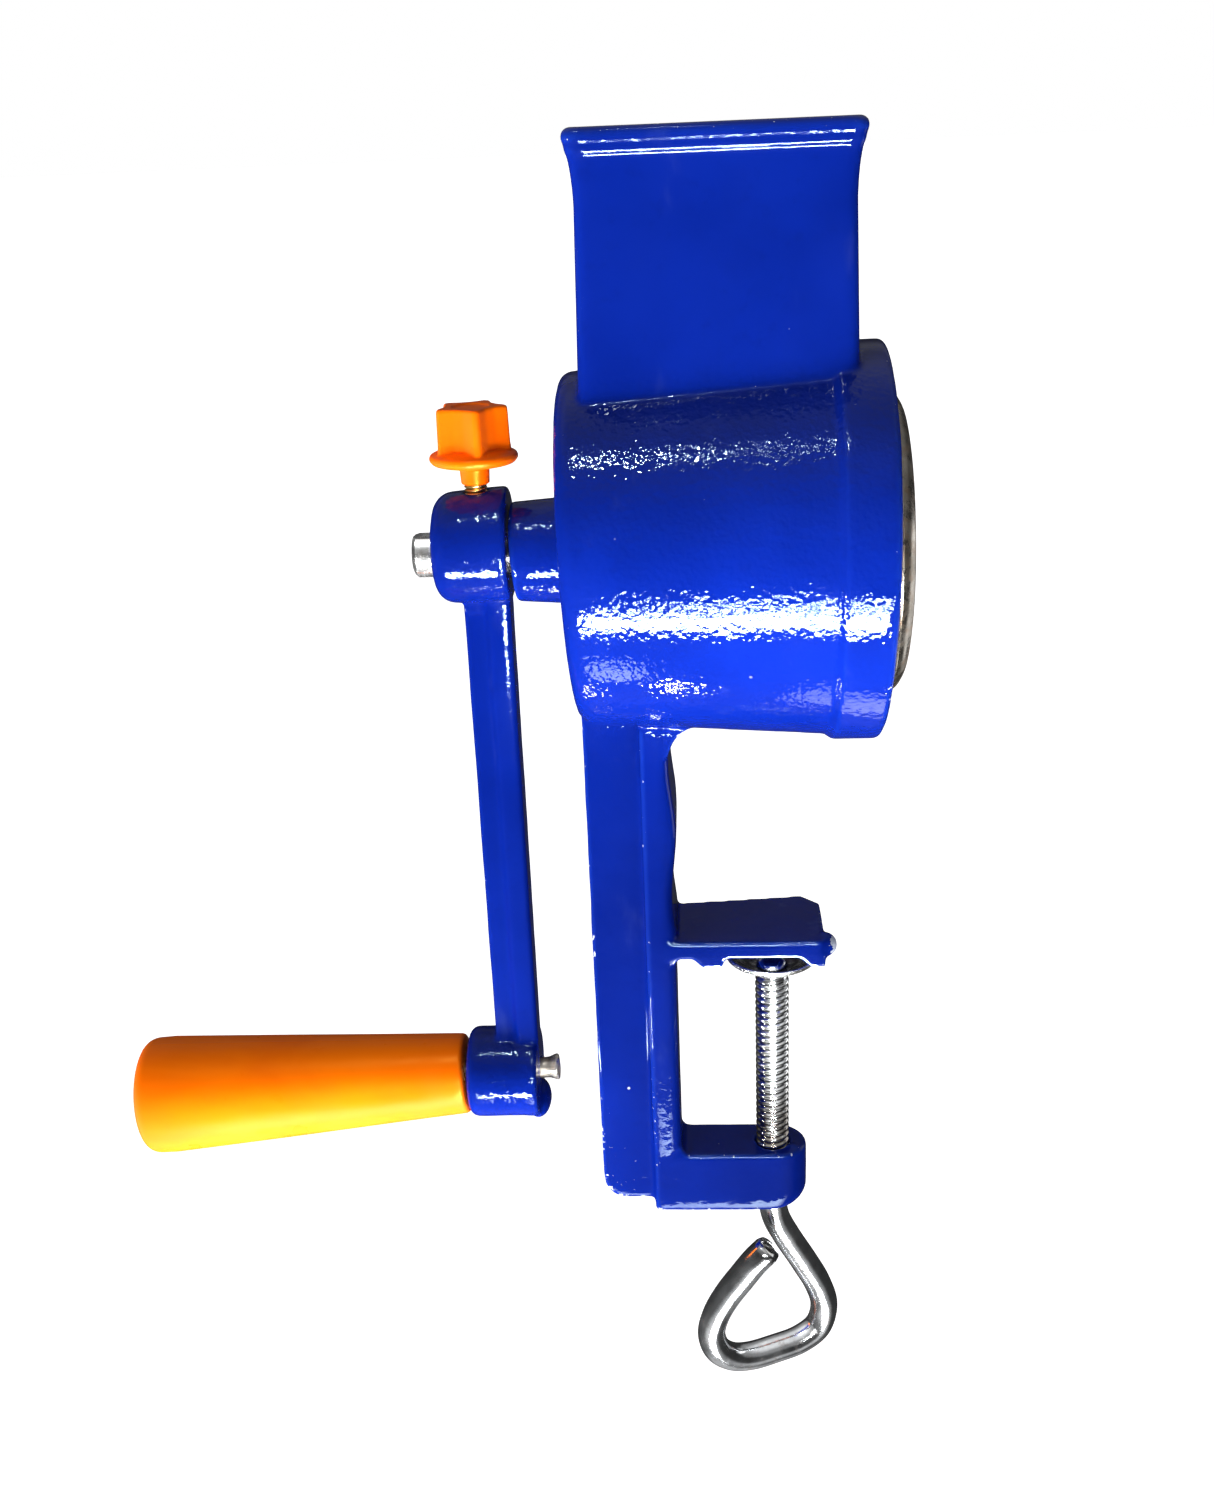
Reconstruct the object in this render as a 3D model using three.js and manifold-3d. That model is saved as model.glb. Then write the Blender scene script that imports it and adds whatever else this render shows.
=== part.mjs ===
// Table-clamped rotary cheese grater: a cast body with hopper, drum housing and C-clamp,
// a steel grating drum on a shaft, a cast crank held by a thumb screw, and a clamp screw.
//
// Units are millimetres. The origin is where the clamp screw's axis meets the plane of the
// jaw's two seat ribs, which is the plane of the table top. +X runs along the drum's axis
// towards its open mouth, +Z is up, and the user stands on the -Y side.

import * as THREE from 'three';
import { mergeVertices } from 'three/addons/utils/BufferGeometryUtils.js';
import Module from 'manifold-3d';

const wasm = await Module();
wasm.setup();

// ---------------------------------------------------------------- driving dimensions

const GAP = 0.3; // clearance between pieces that touch or run on each other
const EDGE = 1.2; // general rounding of a cast edge
const DEEP = 60; // half length of a tool that has to cut right through

// Housing and hopper
const AXIS_Z = 95.2; // drum axis above the table top
const HOUSING_LEFT = -42.3;
const HOUSING_END_ROUND = 3.2;
const HOUSING_RIGHT = 22.7;
const HOUSING_R_LEFT = 37.2;
const HOUSING_R_RIGHT = 40.4;
const HOUSING_LEAN = 0.0008; // both end faces of the housing lean in towards its underside
const FLANGE_START = 9.5;
const FLANGE_R = 41.6;
const FLANGE_STEP = 3.2; // length of the hollow step up to the flange
const BORE_R = 33.4;
const BORE_LEFT = -38.4;
const BOSS_LEFT = -54.2;
const BOSS_R_LEFT = 10.6;
const BOSS_R_RIGHT = 11.3;
const HOPPER_X = [-37.6, 16.1];
const HOPPER_HALF_Y = 16.6;
const HOPPER_WALL = 3;
const HOPPER_TOP = 179.3;
const HOPPER_CORNER = 2.6;
const HOPPER_DRAFT = 1.2; // how much wider each side is at the housing
const LIP_HEIGHT = 14;
const LIP_FLARE = 1.8;

// Leg and C-clamp
const PLATE_X = [-29, -22.2];
const PLATE_HALF_Y = 11.8;
const SPINE_LEFT = -41.5;
const SPINE_HALF_Y = 5.2;
const SPINE_BOTTOM = -67.2;
const SPINE_CORNER = 6.5;
const LEG_TOP = 66;
const JAW_Z = [2.2, 6.5];
const JAW_RIGHT = 11.6;
const JAW_CHAMFER = 4;
const JAW_BACK_TAPER = 3; // how much shallower the jaw is at the leg, on its far side
const RIB_LEFT_X = [-17.3, -11.2];
const RIB_RIGHT_X = [6.9, 11.6];
const RIB_SLOPE = 2.2;
const ARM_Z = [-70, -54];
const ARM_HALF_Y = 6.9;
const ARM_END_R = 6.9;
const ARM_END_X = 1.3;
const LEG_FILLET = 5.5;
const CLAMP_FILLET = 2.4;
// small dressed stub on the jaw's end, where the metal ran into the mould
const GATE_STUB = { x: 11.8, y: -8.6, z: 3.6, rx: 2.4, ry: 2.8, rz: 2 };

// Clamp screw
const SCREW_CORE_R = 3.6;
const SCREW_HOLE_R = 4;
const SCREW_THREAD_Z = [-70.5, -7.2];
const PAD_R = 11;
const PAD_TOP = -1.8;
const PAD_BOTTOM = -6.8;
const PAD_FOOT_R = 4.6;
const PAD_SHEET = 1.3;
const NECK_R = 2.3;
const WIRE_R = 3.5;
const LOOP_TURN = 21; // degrees that the loop's plane is turned from the drum's axis

// Drum
const SHAFT_R = 5;
const SHAFT_X = [-76, -24.6];
const SHAFT_FLAT = 1; // depth of the flat that the thumb screw presses on
const SHAFT_FLAT_RIGHT = -56;
const SLEEVE_R = 31;
const SLEEVE_SHEET = 1.2;
const SLEEVE_X = [-36.8, 25.5];
const RING_R = 32.5;
const RING_X = [18.5, 26.9];
const DISC_X = [-36.6, -35.4];
const DISC_RIM = 5.5;
const DRUM_HUB_R = 8;
const DRUM_HUB_FLANGE_R = 15.5;
const DRUM_HUB_X = [-35.1, -25.4];
const DRUM_HUB_FLANGE = 2;
const RIVETS = 3;
const RIVET_CIRCLE_R = 12.2;
const RIVET_R = 1.5;
const RIVET_HEAD_R = 2.6;
const CROSS_PIN_X = -29.2;
const CROSS_PIN_R = 1.5;
const WASHER_R = 8.8;
const WASHER_X = [-38.1, -36.9];

// Crank
const CRANK_RADIUS = 128.8;
const UPPER_HUB_X = [-71.2, -55.5];
const UPPER_HUB_R = 12.1;
const UPPER_HUB_RISE = 1.8; // the hub is thicker above the shaft, where the thumb screw threads in
const LOWER_HUB_X = [-73, -56.2];
const LOWER_HUB_R = 10.8;
const EYE_X = [-60, -56]; // round end of the arm's wide strip
const EYE_R = 10.9;
const EYE_LUMP = { x: -56.7, z: -41.4, rx: 3, ry: 6, rz: 4.2 }; // cast lump under the pin's end
const WEB_X = [-61, -55.7];
const WEB_HALF_Y = 4.4;
const RIB_X = [-65.9, -60];
const RIB_HALF_Y = 3;

// Thumb screw
const STUD_X = -61.8;
const STUD_R = 2.3;
const STUD_HOLE_R = 2.6;
const STUD_TOP = 122;
const KNOB_BOTTOM = 113.6;
const KNOB_FLANGE_R = 9.3;
const KNOB_FLANGE_TOP = 117.2;
const KNOB_TOP = 126.4;
const KNOB_POINTS = 5;
const KNOB_TIP_R = 7.8;
const KNOB_ROOT_R = 5.8;
const KNOB_TURN = 15; // degrees that one point is turned from the user towards the drum

// Grip, built along its own axis: x = 0 where that axis crosses the lower hub
const GRIP_TILT = 4; // degrees that the pin leans down to the left
const GRIP_RIGHT = -10;
const GRIP_LENGTH = 78.8;
const GRIP_R_RIGHT = 9.5;
const GRIP_R_LEFT = 14.4;
const GRIP_EDGE = 1.6;
const GRIP_DOME = 6;
const GRIP_BORE_R = 2.8;
const GRIP_POCKET_R = 5.4;
const GRIP_POCKET = 8;
const PIN_R = 2.5;
const PIN_X = [-85.1, 13.2];
const PIN_HEAD_R = 4.3;
const PIN_FLARE_R = 3.1;

// ---------------------------------------------------------------- materials

const enamel = new THREE.MeshStandardMaterial({ color: 0x1226a8, roughness: 0.25, metalness: 0.0 });
const orange = new THREE.MeshStandardMaterial({ color: 0xff9500, roughness: 0.35, metalness: 0.0 });
const zinc = new THREE.MeshStandardMaterial({ color: 0xb9bec2, roughness: 0.3, metalness: 1.0 });
const steel = new THREE.MeshStandardMaterial({ color: 0xa9a69c, roughness: 0.35, metalness: 1.0 });

// ---------------------------------------------------------------- shape helpers

const degrees = THREE.MathUtils.degToRad;

/** Signed volume of an indexed triangle list, negative when its faces point inwards. */
function signedVolume(position, index) {
  const [a, b, c] = [new THREE.Vector3(), new THREE.Vector3(), new THREE.Vector3()];
  let sum = 0;
  for (let i = 0; i < index.length; i += 3) {
    a.fromArray(position, 3 * index[i]);
    b.fromArray(position, 3 * index[i + 1]);
    c.fromArray(position, 3 * index[i + 2]);
    sum += a.dot(b.cross(c)) / 6;
  }
  return sum;
}

/** A closed geometry as a solid for boolean work, with its faces turned outwards. */
function solid(geometry) {
  geometry.deleteAttribute('normal');
  geometry.deleteAttribute('uv');
  const merged = mergeVertices(geometry, 1e-4);
  const position = merged.attributes.position.array;
  const index = [];
  for (let i = 0; i < merged.index.count; i += 3) {
    const [a, b, c] = merged.index.array.slice(i, i + 3);
    if (a !== b && b !== c && c !== a) index.push(a, b, c);
  }
  if (signedVolume(position, index) < 0) index.reverse();
  const mesh = new wasm.Mesh({ numProp: 3, vertProperties: position, triVerts: new Uint32Array(index) });
  return new wasm.Manifold(mesh);
}

const join = (...solids) => solids.reduce((sum, next) => sum.add(next));
const cut = (base, ...tools) => tools.reduce((rest, tool) => rest.subtract(tool), base);

/** A named mesh from a finished solid. */
function part(name, body, material) {
  const { vertProperties, triVerts } = body.getMesh();
  const geometry = new THREE.BufferGeometry();
  geometry.setAttribute('position', new THREE.BufferAttribute(new Float32Array(vertProperties), 3));
  geometry.setIndex(new THREE.BufferAttribute(new Uint32Array(triVerts), 1));
  geometry.computeVertexNormals();
  const mesh = new THREE.Mesh(geometry, material);
  mesh.name = name;
  return mesh;
}

function box([x0, x1], [y0, y1], [z0, z1]) {
  const geometry = new THREE.BoxGeometry(x1 - x0, y1 - y0, z1 - z0);
  geometry.translate((x0 + x1) / 2, (y0 + y1) / 2, (z0 + z1) / 2);
  return solid(geometry);
}

/** Points on an arc in a profile's plane, from one angle to another in degrees. */
function arc(cx, cy, r, from, to, steps = 4) {
  const at = (i) => degrees(from + ((to - from) * i) / steps);
  return Array.from({ length: steps + 1 }, (_, i) => [cx + r * Math.cos(at(i)), cy + r * Math.sin(at(i))]);
}

/** Geometry turned about the X axis from a profile of [x, radius] points. */
function turnedGeometry(profile, segments) {
  const geometry = new THREE.LatheGeometry(profile.map(([x, r]) => new THREE.Vector2(r, x)), segments);
  return geometry.rotateZ(-Math.PI / 2);
}

/** Solid turned about the line y = 0, z = height, parallel to X. */
function turnedX(profile, segments, height = 0) {
  return solid(turnedGeometry(profile, segments).translate(0, 0, height));
}

/** Solid turned about the line x = centre, parallel to Z, from [radius, z] points. */
function turnedZ(profile, segments, centre = 0) {
  const geometry = new THREE.LatheGeometry(profile.map(([r, z]) => new THREE.Vector2(r, z)), segments);
  return solid(geometry.rotateX(Math.PI / 2).translate(centre, 0, 0));
}

function rodX([x0, x1], r, segments, height = 0) {
  return turnedX([[x0, 0], [x0, r], [x1, r], [x1, 0]], segments, height);
}

function rodZ([z0, z1], r, segments, centre = 0) {
  return turnedZ([[0, z0], [r, z0], [r, z1], [0, z1]], segments, centre);
}

/** Tube or washer about the line y = 0, z = height, parallel to X. */
function tubeX([x0, x1], bore, rim, segments, height = 0) {
  return turnedX([[x0, bore], [x0, rim], [x1, rim], [x1, bore], [x0, bore]], segments, height);
}

/** Flat outline of [x, z] points, made solid between two Y values. */
function slab(points, [y0, y1]) {
  const shape = new THREE.Shape(points.map(([x, z]) => new THREE.Vector2(x, z)));
  const geometry = new THREE.ExtrudeGeometry(shape, { depth: y1 - y0, bevelEnabled: false });
  return solid(geometry.rotateX(Math.PI / 2).translate(0, y1, 0));
}

/** Flat outline of [x, y] points, made solid between two Z values. */
function block(points, [z0, z1]) {
  const shape = new THREE.Shape(points.map(([x, y]) => new THREE.Vector2(x, y)));
  const geometry = new THREE.ExtrudeGeometry(shape, { depth: z1 - z0, bevelEnabled: false });
  return solid(geometry.translate(0, 0, z0));
}

/** Outline of a rectangle with round corners, as [x, y] points. */
function roundedRectangle([x0, x1], [y0, y1], r, steps = 4) {
  return [
    ...arc(x1 - r, y1 - r, r, 0, 90, steps),
    ...arc(x0 + r, y1 - r, r, 90, 180, steps),
    ...arc(x0 + r, y0 + r, r, 180, 270, steps),
    ...arc(x1 - r, y0 + r, r, 270, 360, steps),
  ];
}

/** Skin over a stack of equal-length [x, y] outlines, each at its own height. */
function loft(sections) {
  const count = sections[0].outline.length;
  const points = sections.flatMap(({ outline, z }) => outline.map(([x, y]) => [x, y, z]));
  const index = [];
  for (let s = 0; s + 1 < sections.length; s += 1) {
    for (let i = 0; i < count; i += 1) {
      const [a, b] = [s * count + i, s * count + ((i + 1) % count)];
      index.push(a, b, b + count, a, b + count, a + count);
    }
  }
  const last = (sections.length - 1) * count;
  for (let i = 1; i + 1 < count; i += 1) {
    index.push(0, i + 1, i, last, last + i, last + i + 1);
  }
  const geometry = new THREE.BufferGeometry();
  geometry.setAttribute('position', new THREE.Float32BufferAttribute(points.flat(), 3));
  geometry.setIndex(index);
  return solid(geometry);
}

/** Material left in a square corner by a fillet: the corner point, and which way it opens. */
function fillet(x, z, r, sideX, sideZ, depth) {
  const centre = [x + sideX * r, z + sideZ * r];
  const from = Math.atan2(-sideZ, 0);
  const to = Math.atan2(0, -sideX);
  const turn = Math.atan2(Math.sin(to - from), Math.cos(to - from));
  const steps = 5;
  const curve = Array.from({ length: steps + 1 }, (_, i) => {
    const angle = from + (turn * i) / steps;
    return [centre[0] + r * Math.cos(angle), centre[1] + r * Math.sin(angle)];
  });
  const root = [x - sideX, z - sideZ];
  return slab([[root[0], root[1]], [curve[0][0], root[1]], ...curve, [root[0], curve[steps][1]]], depth);
}

// ---------------------------------------------------------------- cast body

/** Bearing boss, end wall, slightly conical drum housing and stepped flange in one turning. */
function housingOutside() {
  const step = [FLANGE_START + FLANGE_STEP, FLANGE_R - 0.2];
  const profile = [
    [BOSS_LEFT, 0],
    [BOSS_LEFT, BOSS_R_LEFT - EDGE / 2],
    [BOSS_LEFT + EDGE / 2, BOSS_R_LEFT],
    [HOUSING_LEFT - EDGE, BOSS_R_RIGHT],
    [HOUSING_LEFT, BOSS_R_RIGHT + EDGE],
    ...arc(HOUSING_LEFT + HOUSING_END_ROUND, HOUSING_R_LEFT - HOUSING_END_ROUND, HOUSING_END_ROUND, 180, 90),
    [FLANGE_START, HOUSING_R_RIGHT],
    [FLANGE_START + FLANGE_STEP / 2, HOUSING_R_RIGHT + 0.5],
    step,
    ...arc(HOUSING_RIGHT - EDGE, FLANGE_R - EDGE, EDGE, 90, 0, 3),
    [HOUSING_RIGHT, 0],
  ];
  const geometry = turnedGeometry(profile, 56);
  const position = geometry.attributes.position;
  for (let i = 0; i < position.count; i += 1) {
    position.setX(i, position.getX(i) * (1 + HOUSING_LEAN * position.getZ(i)));
  }
  return solid(geometry.translate(0, 0, AXIS_Z));
}

/** Hopper tube with a gently flared, rounded lip. */
function hopperOutside() {
  const bottom = AXIS_Z + 15;
  const lipStart = HOPPER_TOP - LIP_HEIGHT;
  const sections = [
    { z: bottom, grow: HOPPER_DRAFT },
    { z: lipStart, grow: 0 },
    { z: lipStart + LIP_HEIGHT * 0.35, grow: LIP_FLARE * 0.22 },
    { z: lipStart + LIP_HEIGHT * 0.6, grow: LIP_FLARE * 0.55 },
    { z: HOPPER_TOP - 2.6, grow: LIP_FLARE * 0.92 },
    { z: HOPPER_TOP - 1.5, grow: LIP_FLARE },
    { z: HOPPER_TOP - 0.5, grow: LIP_FLARE * 0.8 },
    { z: HOPPER_TOP, grow: LIP_FLARE * 0.3 },
  ];
  return loft(sections.map(({ z, grow }) => {
    const x = [HOPPER_X[0] - grow, HOPPER_X[1] + grow];
    const y = [-HOPPER_HALF_Y - grow, HOPPER_HALF_Y + grow];
    return { z, outline: roundedRectangle(x, y, HOPPER_CORNER) };
  }));
}

/** Throat of the hopper, from above its rim down into the housing's bore. */
function hopperInside() {
  const inner = (grow) => roundedRectangle(
    [HOPPER_X[0] + HOPPER_WALL - grow, HOPPER_X[1] - HOPPER_WALL + grow],
    [-HOPPER_HALF_Y + HOPPER_WALL - grow, HOPPER_HALF_Y - HOPPER_WALL + grow],
    HOPPER_CORNER - 1,
  );
  return loft([
    { z: AXIS_Z + 16, outline: inner(0) },
    { z: HOPPER_TOP - LIP_HEIGHT, outline: inner(0) },
    { z: HOPPER_TOP - 1.2, outline: inner(LIP_FLARE * 0.6) },
    { z: HOPPER_TOP + 1, outline: inner(LIP_FLARE * 1.6) },
  ]);
}

/** Wide plate of the T-shaped leg, narrowing from the jaw down to the lower arm. */
function legPlate() {
  const outline = (half) => roundedRectangle([PLATE_X[0], PLATE_X[1]], [-half, half], EDGE, 2);
  return loft([
    { z: ARM_Z[0], outline: outline(ARM_HALF_Y) },
    { z: ARM_Z[1], outline: outline(ARM_HALF_Y) },
    { z: 0, outline: outline(PLATE_HALF_Y) },
    { z: LEG_TOP, outline: outline(PLATE_HALF_Y) },
  ]);
}

/** Rib along the leg's outer side, with its round lower corner. */
function legSpine() {
  const outline = [
    ...arc(SPINE_LEFT + SPINE_CORNER, SPINE_BOTTOM + SPINE_CORNER, SPINE_CORNER, 180, 270, 6),
    [PLATE_X[0] + 1, SPINE_BOTTOM],
    [PLATE_X[0] + 1, LEG_TOP],
    [SPINE_LEFT, LEG_TOP],
  ];
  return slab(outline, [-SPINE_HALF_Y, SPINE_HALF_Y]);
}

/** Upper jaw with two seat ribs across its underside. */
function jaw() {
  const right = JAW_RIGHT;
  const half = PLATE_HALF_Y;
  const plan = [
    [PLATE_X[0] + 1, -half],
    ...arc(right - EDGE, -half + EDGE, EDGE, 270, 360, 3),
    [right, half - JAW_CHAMFER],
    [right - JAW_CHAMFER, half],
    [PLATE_X[1], half - JAW_BACK_TAPER],
    [PLATE_X[0] + 1, half - JAW_BACK_TAPER],
  ];
  const leftRib = [
    [RIB_LEFT_X[0] - RIB_SLOPE / 2, JAW_Z[0] + 1],
    [RIB_LEFT_X[0] - RIB_SLOPE / 2, JAW_Z[0]],
    [RIB_LEFT_X[0] + RIB_SLOPE / 2, 0],
    [RIB_LEFT_X[1] - 0.4, 0],
    [RIB_LEFT_X[1], JAW_Z[0]],
    [RIB_LEFT_X[1], JAW_Z[0] + 1],
  ];
  const rightRib = [
    [RIB_RIGHT_X[0] - RIB_SLOPE / 2, JAW_Z[0] + 1],
    [RIB_RIGHT_X[0] - RIB_SLOPE / 2, JAW_Z[0]],
    [RIB_RIGHT_X[0] + RIB_SLOPE / 2, 0],
    [RIB_RIGHT_X[1] + 1, 0],
    [RIB_RIGHT_X[1] + 1, JAW_Z[0] + 1],
  ];
  const ribs = join(slab(leftRib, [-half, half]), slab(rightRib, [-half, half]));
  return join(block(plan, JAW_Z), ribs.intersect(block(plan, [-1, JAW_Z[1]])));
}

/** Lower arm with the round end that the clamp screw is threaded through. */
function lowerArm() {
  const plan = [
    [PLATE_X[0] + 1, -ARM_HALF_Y],
    ...arc(ARM_END_X, 0, ARM_END_R, 270, 450, 12),
    [PLATE_X[0] + 1, ARM_HALF_Y],
  ];
  const corner = 3.4;
  const right = ARM_END_X + ARM_END_R;
  const round = slab(
    [
      [right - corner, ARM_Z[0] - 1],
      [right + 1, ARM_Z[0] - 1],
      [right + 1, ARM_Z[0] + corner],
      ...arc(right - corner, ARM_Z[0] + corner, corner, 0, -90, 5),
    ],
    [-ARM_HALF_Y - 1, ARM_HALF_Y + 1],
  );
  return cut(block(plan, ARM_Z), round);
}

/** Ellipsoid for a small cast lump. */
function lump({ x, y = 0, z, rx, ry, rz }) {
  const geometry = new THREE.SphereGeometry(1, 14, 8);
  return solid(geometry.scale(rx, ry, rz).translate(x, y, z));
}

function bodyCasting() {
  const clampHalf = [-ARM_HALF_Y, ARM_HALF_Y];
  const plateHalf = [-PLATE_HALF_Y, PLATE_HALF_Y];
  const underHousing = AXIS_Z - HOUSING_R_LEFT + 0.6;
  const outside = join(
    housingOutside(),
    hopperOutside(),
    legPlate(),
    legSpine(),
    jaw(),
    lowerArm(),
    lump(GATE_STUB),
    fillet(PLATE_X[1], underHousing, LEG_FILLET, 1, -1, plateHalf),
    fillet(PLATE_X[1], JAW_Z[0], CLAMP_FILLET / 2, 1, -1, plateHalf),
    fillet(PLATE_X[1], ARM_Z[1], CLAMP_FILLET, 1, 1, clampHalf),
  );
  return cut(
    outside,
    rodX([BORE_LEFT, HOUSING_RIGHT + 1], BORE_R, 64, AXIS_Z),
    hopperInside(),
    rodX([BOSS_LEFT - 1, BORE_LEFT + 1], SHAFT_R + GAP + 0.05, 32, AXIS_Z),
    rodZ([ARM_Z[0] - 1, ARM_Z[1] + 1], SCREW_HOLE_R, 32),
  );
}

// ---------------------------------------------------------------- drum

function drumShaft() {
  const [left, right] = SHAFT_X;
  const chamfer = 0.7;
  const turned = turnedX(
    [
      [left, 0],
      [left, SHAFT_R - chamfer],
      [left + chamfer, SHAFT_R],
      [right - chamfer, SHAFT_R],
      [right, SHAFT_R - chamfer],
      [right, 0],
    ],
    32,
    AXIS_Z,
  );
  const top = AXIS_Z + SHAFT_R;
  const flat = box([left - 1, SHAFT_FLAT_RIGHT], [-SHAFT_R, SHAFT_R], [top - SHAFT_FLAT, top + 1]);
  return cut(turned, flat, crossPinTool(CROSS_PIN_R + GAP));
}

/** Rod across the drum's hub, as the pin itself or as the hole for it. */
function crossPinTool(r, halfLength = DEEP) {
  const geometry = new THREE.CylinderGeometry(r, r, 2 * halfLength, 12);
  return solid(geometry.translate(CROSS_PIN_X, 0, AXIS_Z));
}

function drumSleeve() {
  return tubeX(SLEEVE_X, SLEEVE_R - SLEEVE_SHEET, SLEEVE_R, 48, AXIS_Z);
}

/** Rolled ring wrapped round the sleeve's open end, drawn in towards its outer edge. */
function drumEndRing() {
  const [left, right] = RING_X;
  const bore = SLEEVE_R + GAP;
  const lip = RING_R - 5.7;
  const face = SLEEVE_X[1] + GAP;
  const profile = [
    [left, bore],
    [left, RING_R - 0.4],
    [left + 0.4, RING_R],
    [right - 4, RING_R],
    [right - 1.7, RING_R - 1.3],
    [right, RING_R - 4],
    [right, lip],
    [face, lip],
    [face, bore],
    [left, bore],
  ];
  return turnedX(profile, 48, AXIS_Z);
}

/** Disc with a turned-in rim, pressed into the sleeve's closed end. */
function drumBackPlate() {
  const rimR = SLEEVE_R - SLEEVE_SHEET - GAP;
  const [left, right] = DISC_X;
  const end = left + DISC_RIM;
  const profile = [
    [left, SHAFT_R + GAP],
    [left, rimR - 1],
    [left + 1, rimR],
    [end, rimR],
    [end, rimR - 1.2],
    [right + 0.8, rimR - 1.2],
    [right, rimR - 2],
    [right, SHAFT_R + GAP],
    [left, SHAFT_R + GAP],
  ];
  return cut(turnedX(profile, 40, AXIS_Z), ...rivetHoles());
}

/** Flanged hub, pinned to the shaft and riveted to the back plate. */
function drumHub() {
  const [left, right] = DRUM_HUB_X;
  const bore = SHAFT_R + GAP;
  const flange = left + DRUM_HUB_FLANGE;
  const profile = [
    [left, bore],
    [left, DRUM_HUB_FLANGE_R],
    [flange, DRUM_HUB_FLANGE_R],
    [flange, DRUM_HUB_R + 0.8],
    [flange + 0.8, DRUM_HUB_R],
    [right - 0.6, DRUM_HUB_R],
    [right, DRUM_HUB_R - 0.6],
    [right, bore],
    [left, bore],
  ];
  return cut(turnedX(profile, 32, AXIS_Z), crossPinTool(CROSS_PIN_R + GAP), ...rivetHoles());
}

function rivetPlace(i) {
  const angle = degrees(90 + (360 * i) / RIVETS);
  return [RIVET_CIRCLE_R * Math.cos(angle), AXIS_Z + RIVET_CIRCLE_R * Math.sin(angle)];
}

/** Profile turned about a rivet's own line, parallel to X. */
function atRivet(profile, i) {
  const [y, z] = rivetPlace(i);
  return solid(turnedGeometry(profile, 12).translate(0, y, z));
}

function rivetHoles() {
  const r = RIVET_R + GAP;
  const tool = [[DISC_X[0] - 1, 0], [DISC_X[0] - 1, r], [DRUM_HUB_X[0] + 5, r], [DRUM_HUB_X[0] + 5, 0]];
  return Array.from({ length: RIVETS }, (_, i) => atRivet(tool, i));
}

function drumRivet(i) {
  const back = DISC_X[0] - GAP;
  const front = DRUM_HUB_X[0] + DRUM_HUB_FLANGE + GAP;
  const head = 1;
  return atRivet(
    [
      [back - head, 0],
      [back - head, RIVET_HEAD_R - 1],
      [back, RIVET_HEAD_R],
      [back, RIVET_R],
      [front, RIVET_R],
      [front, RIVET_HEAD_R],
      [front + head, RIVET_HEAD_R - 1],
      [front + head, 0],
    ],
    i,
  );
}

function thrustWasher() {
  return tubeX(WASHER_X, SHAFT_R + GAP, WASHER_R, 24, AXIS_Z);
}

// ---------------------------------------------------------------- crank

const LOWER_Z = AXIS_Z - CRANK_RADIUS;

/** Cylinder along X with round outer edges. */
function hubSolid([left, right], r, height, edgeLeft, edgeRight) {
  const profile = [
    [left, 0],
    ...arc(left + edgeLeft, r - edgeLeft, edgeLeft, 180, 90, 4),
    ...arc(right - edgeRight, r - edgeRight, edgeRight, 90, 0, 3),
    [right, 0],
  ];
  return turnedX(profile, 32, height);
}

/** Frame of the grip and its pin: their own X axis leans down to the left. */
function gripPlacement(object) {
  object.position.set((LOWER_HUB_X[0] + LOWER_HUB_X[1]) / 2, 0, LOWER_Z);
  object.rotation.y = -degrees(GRIP_TILT);
  object.updateMatrix();
  return object;
}

function crankArm() {
  const hubZ = AXIS_Z + UPPER_HUB_RISE;
  const web = block(roundedRectangle(WEB_X, [-WEB_HALF_Y, WEB_HALF_Y], EDGE, 2), [LOWER_Z, AXIS_Z]);
  const rib = block(roundedRectangle(RIB_X, [-RIB_HALF_Y, RIB_HALF_Y], EDGE / 2, 2), [LOWER_Z, AXIS_Z]);
  const pinHole = turnedGeometry([[-DEEP, 0], [-DEEP, PIN_R + GAP], [DEEP, PIN_R + GAP], [DEEP, 0]], 24);
  pinHole.applyMatrix4(gripPlacement(new THREE.Object3D()).matrix);
  return cut(
    join(
      hubSolid(UPPER_HUB_X, UPPER_HUB_R, hubZ, 4, 1),
      hubSolid(LOWER_HUB_X, LOWER_HUB_R, LOWER_Z, 2.4, 1),
      hubSolid(EYE_X, EYE_R, LOWER_Z, 1, 1),
      lump(EYE_LUMP),
      web,
      rib,
    ),
    rodX([UPPER_HUB_X[0] - 1, BOSS_LEFT], SHAFT_R + GAP + 0.05, 32, AXIS_Z),
    rodZ([AXIS_Z, hubZ + UPPER_HUB_R + 1], STUD_HOLE_R, 24, STUD_X),
    solid(pinHole),
  );
}

function thumbStud() {
  const tip = AXIS_Z + SHAFT_R - SHAFT_FLAT + GAP;
  const profile = [[0, tip], [STUD_R - 0.5, tip], [STUD_R, tip + 0.6], [STUD_R, STUD_TOP], [0, STUD_TOP]];
  return turnedZ(profile, 24, STUD_X);
}

/** Outline of the knob's star, with blunt points and round valleys. */
function starOutline() {
  const half = 180 / KNOB_POINTS;
  const corners = [[-3, KNOB_TIP_R], [3, KNOB_TIP_R], [half - 12, KNOB_ROOT_R], [half + 12, KNOB_ROOT_R]];
  const outline = [];
  for (let i = 0; i < KNOB_POINTS; i += 1) {
    const tip = -90 + KNOB_TURN + 2 * half * i;
    for (const [turn, r] of corners) {
      const angle = degrees(tip + turn);
      outline.push([STUD_X + r * Math.cos(angle), r * Math.sin(angle)]);
    }
  }
  return outline;
}

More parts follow.
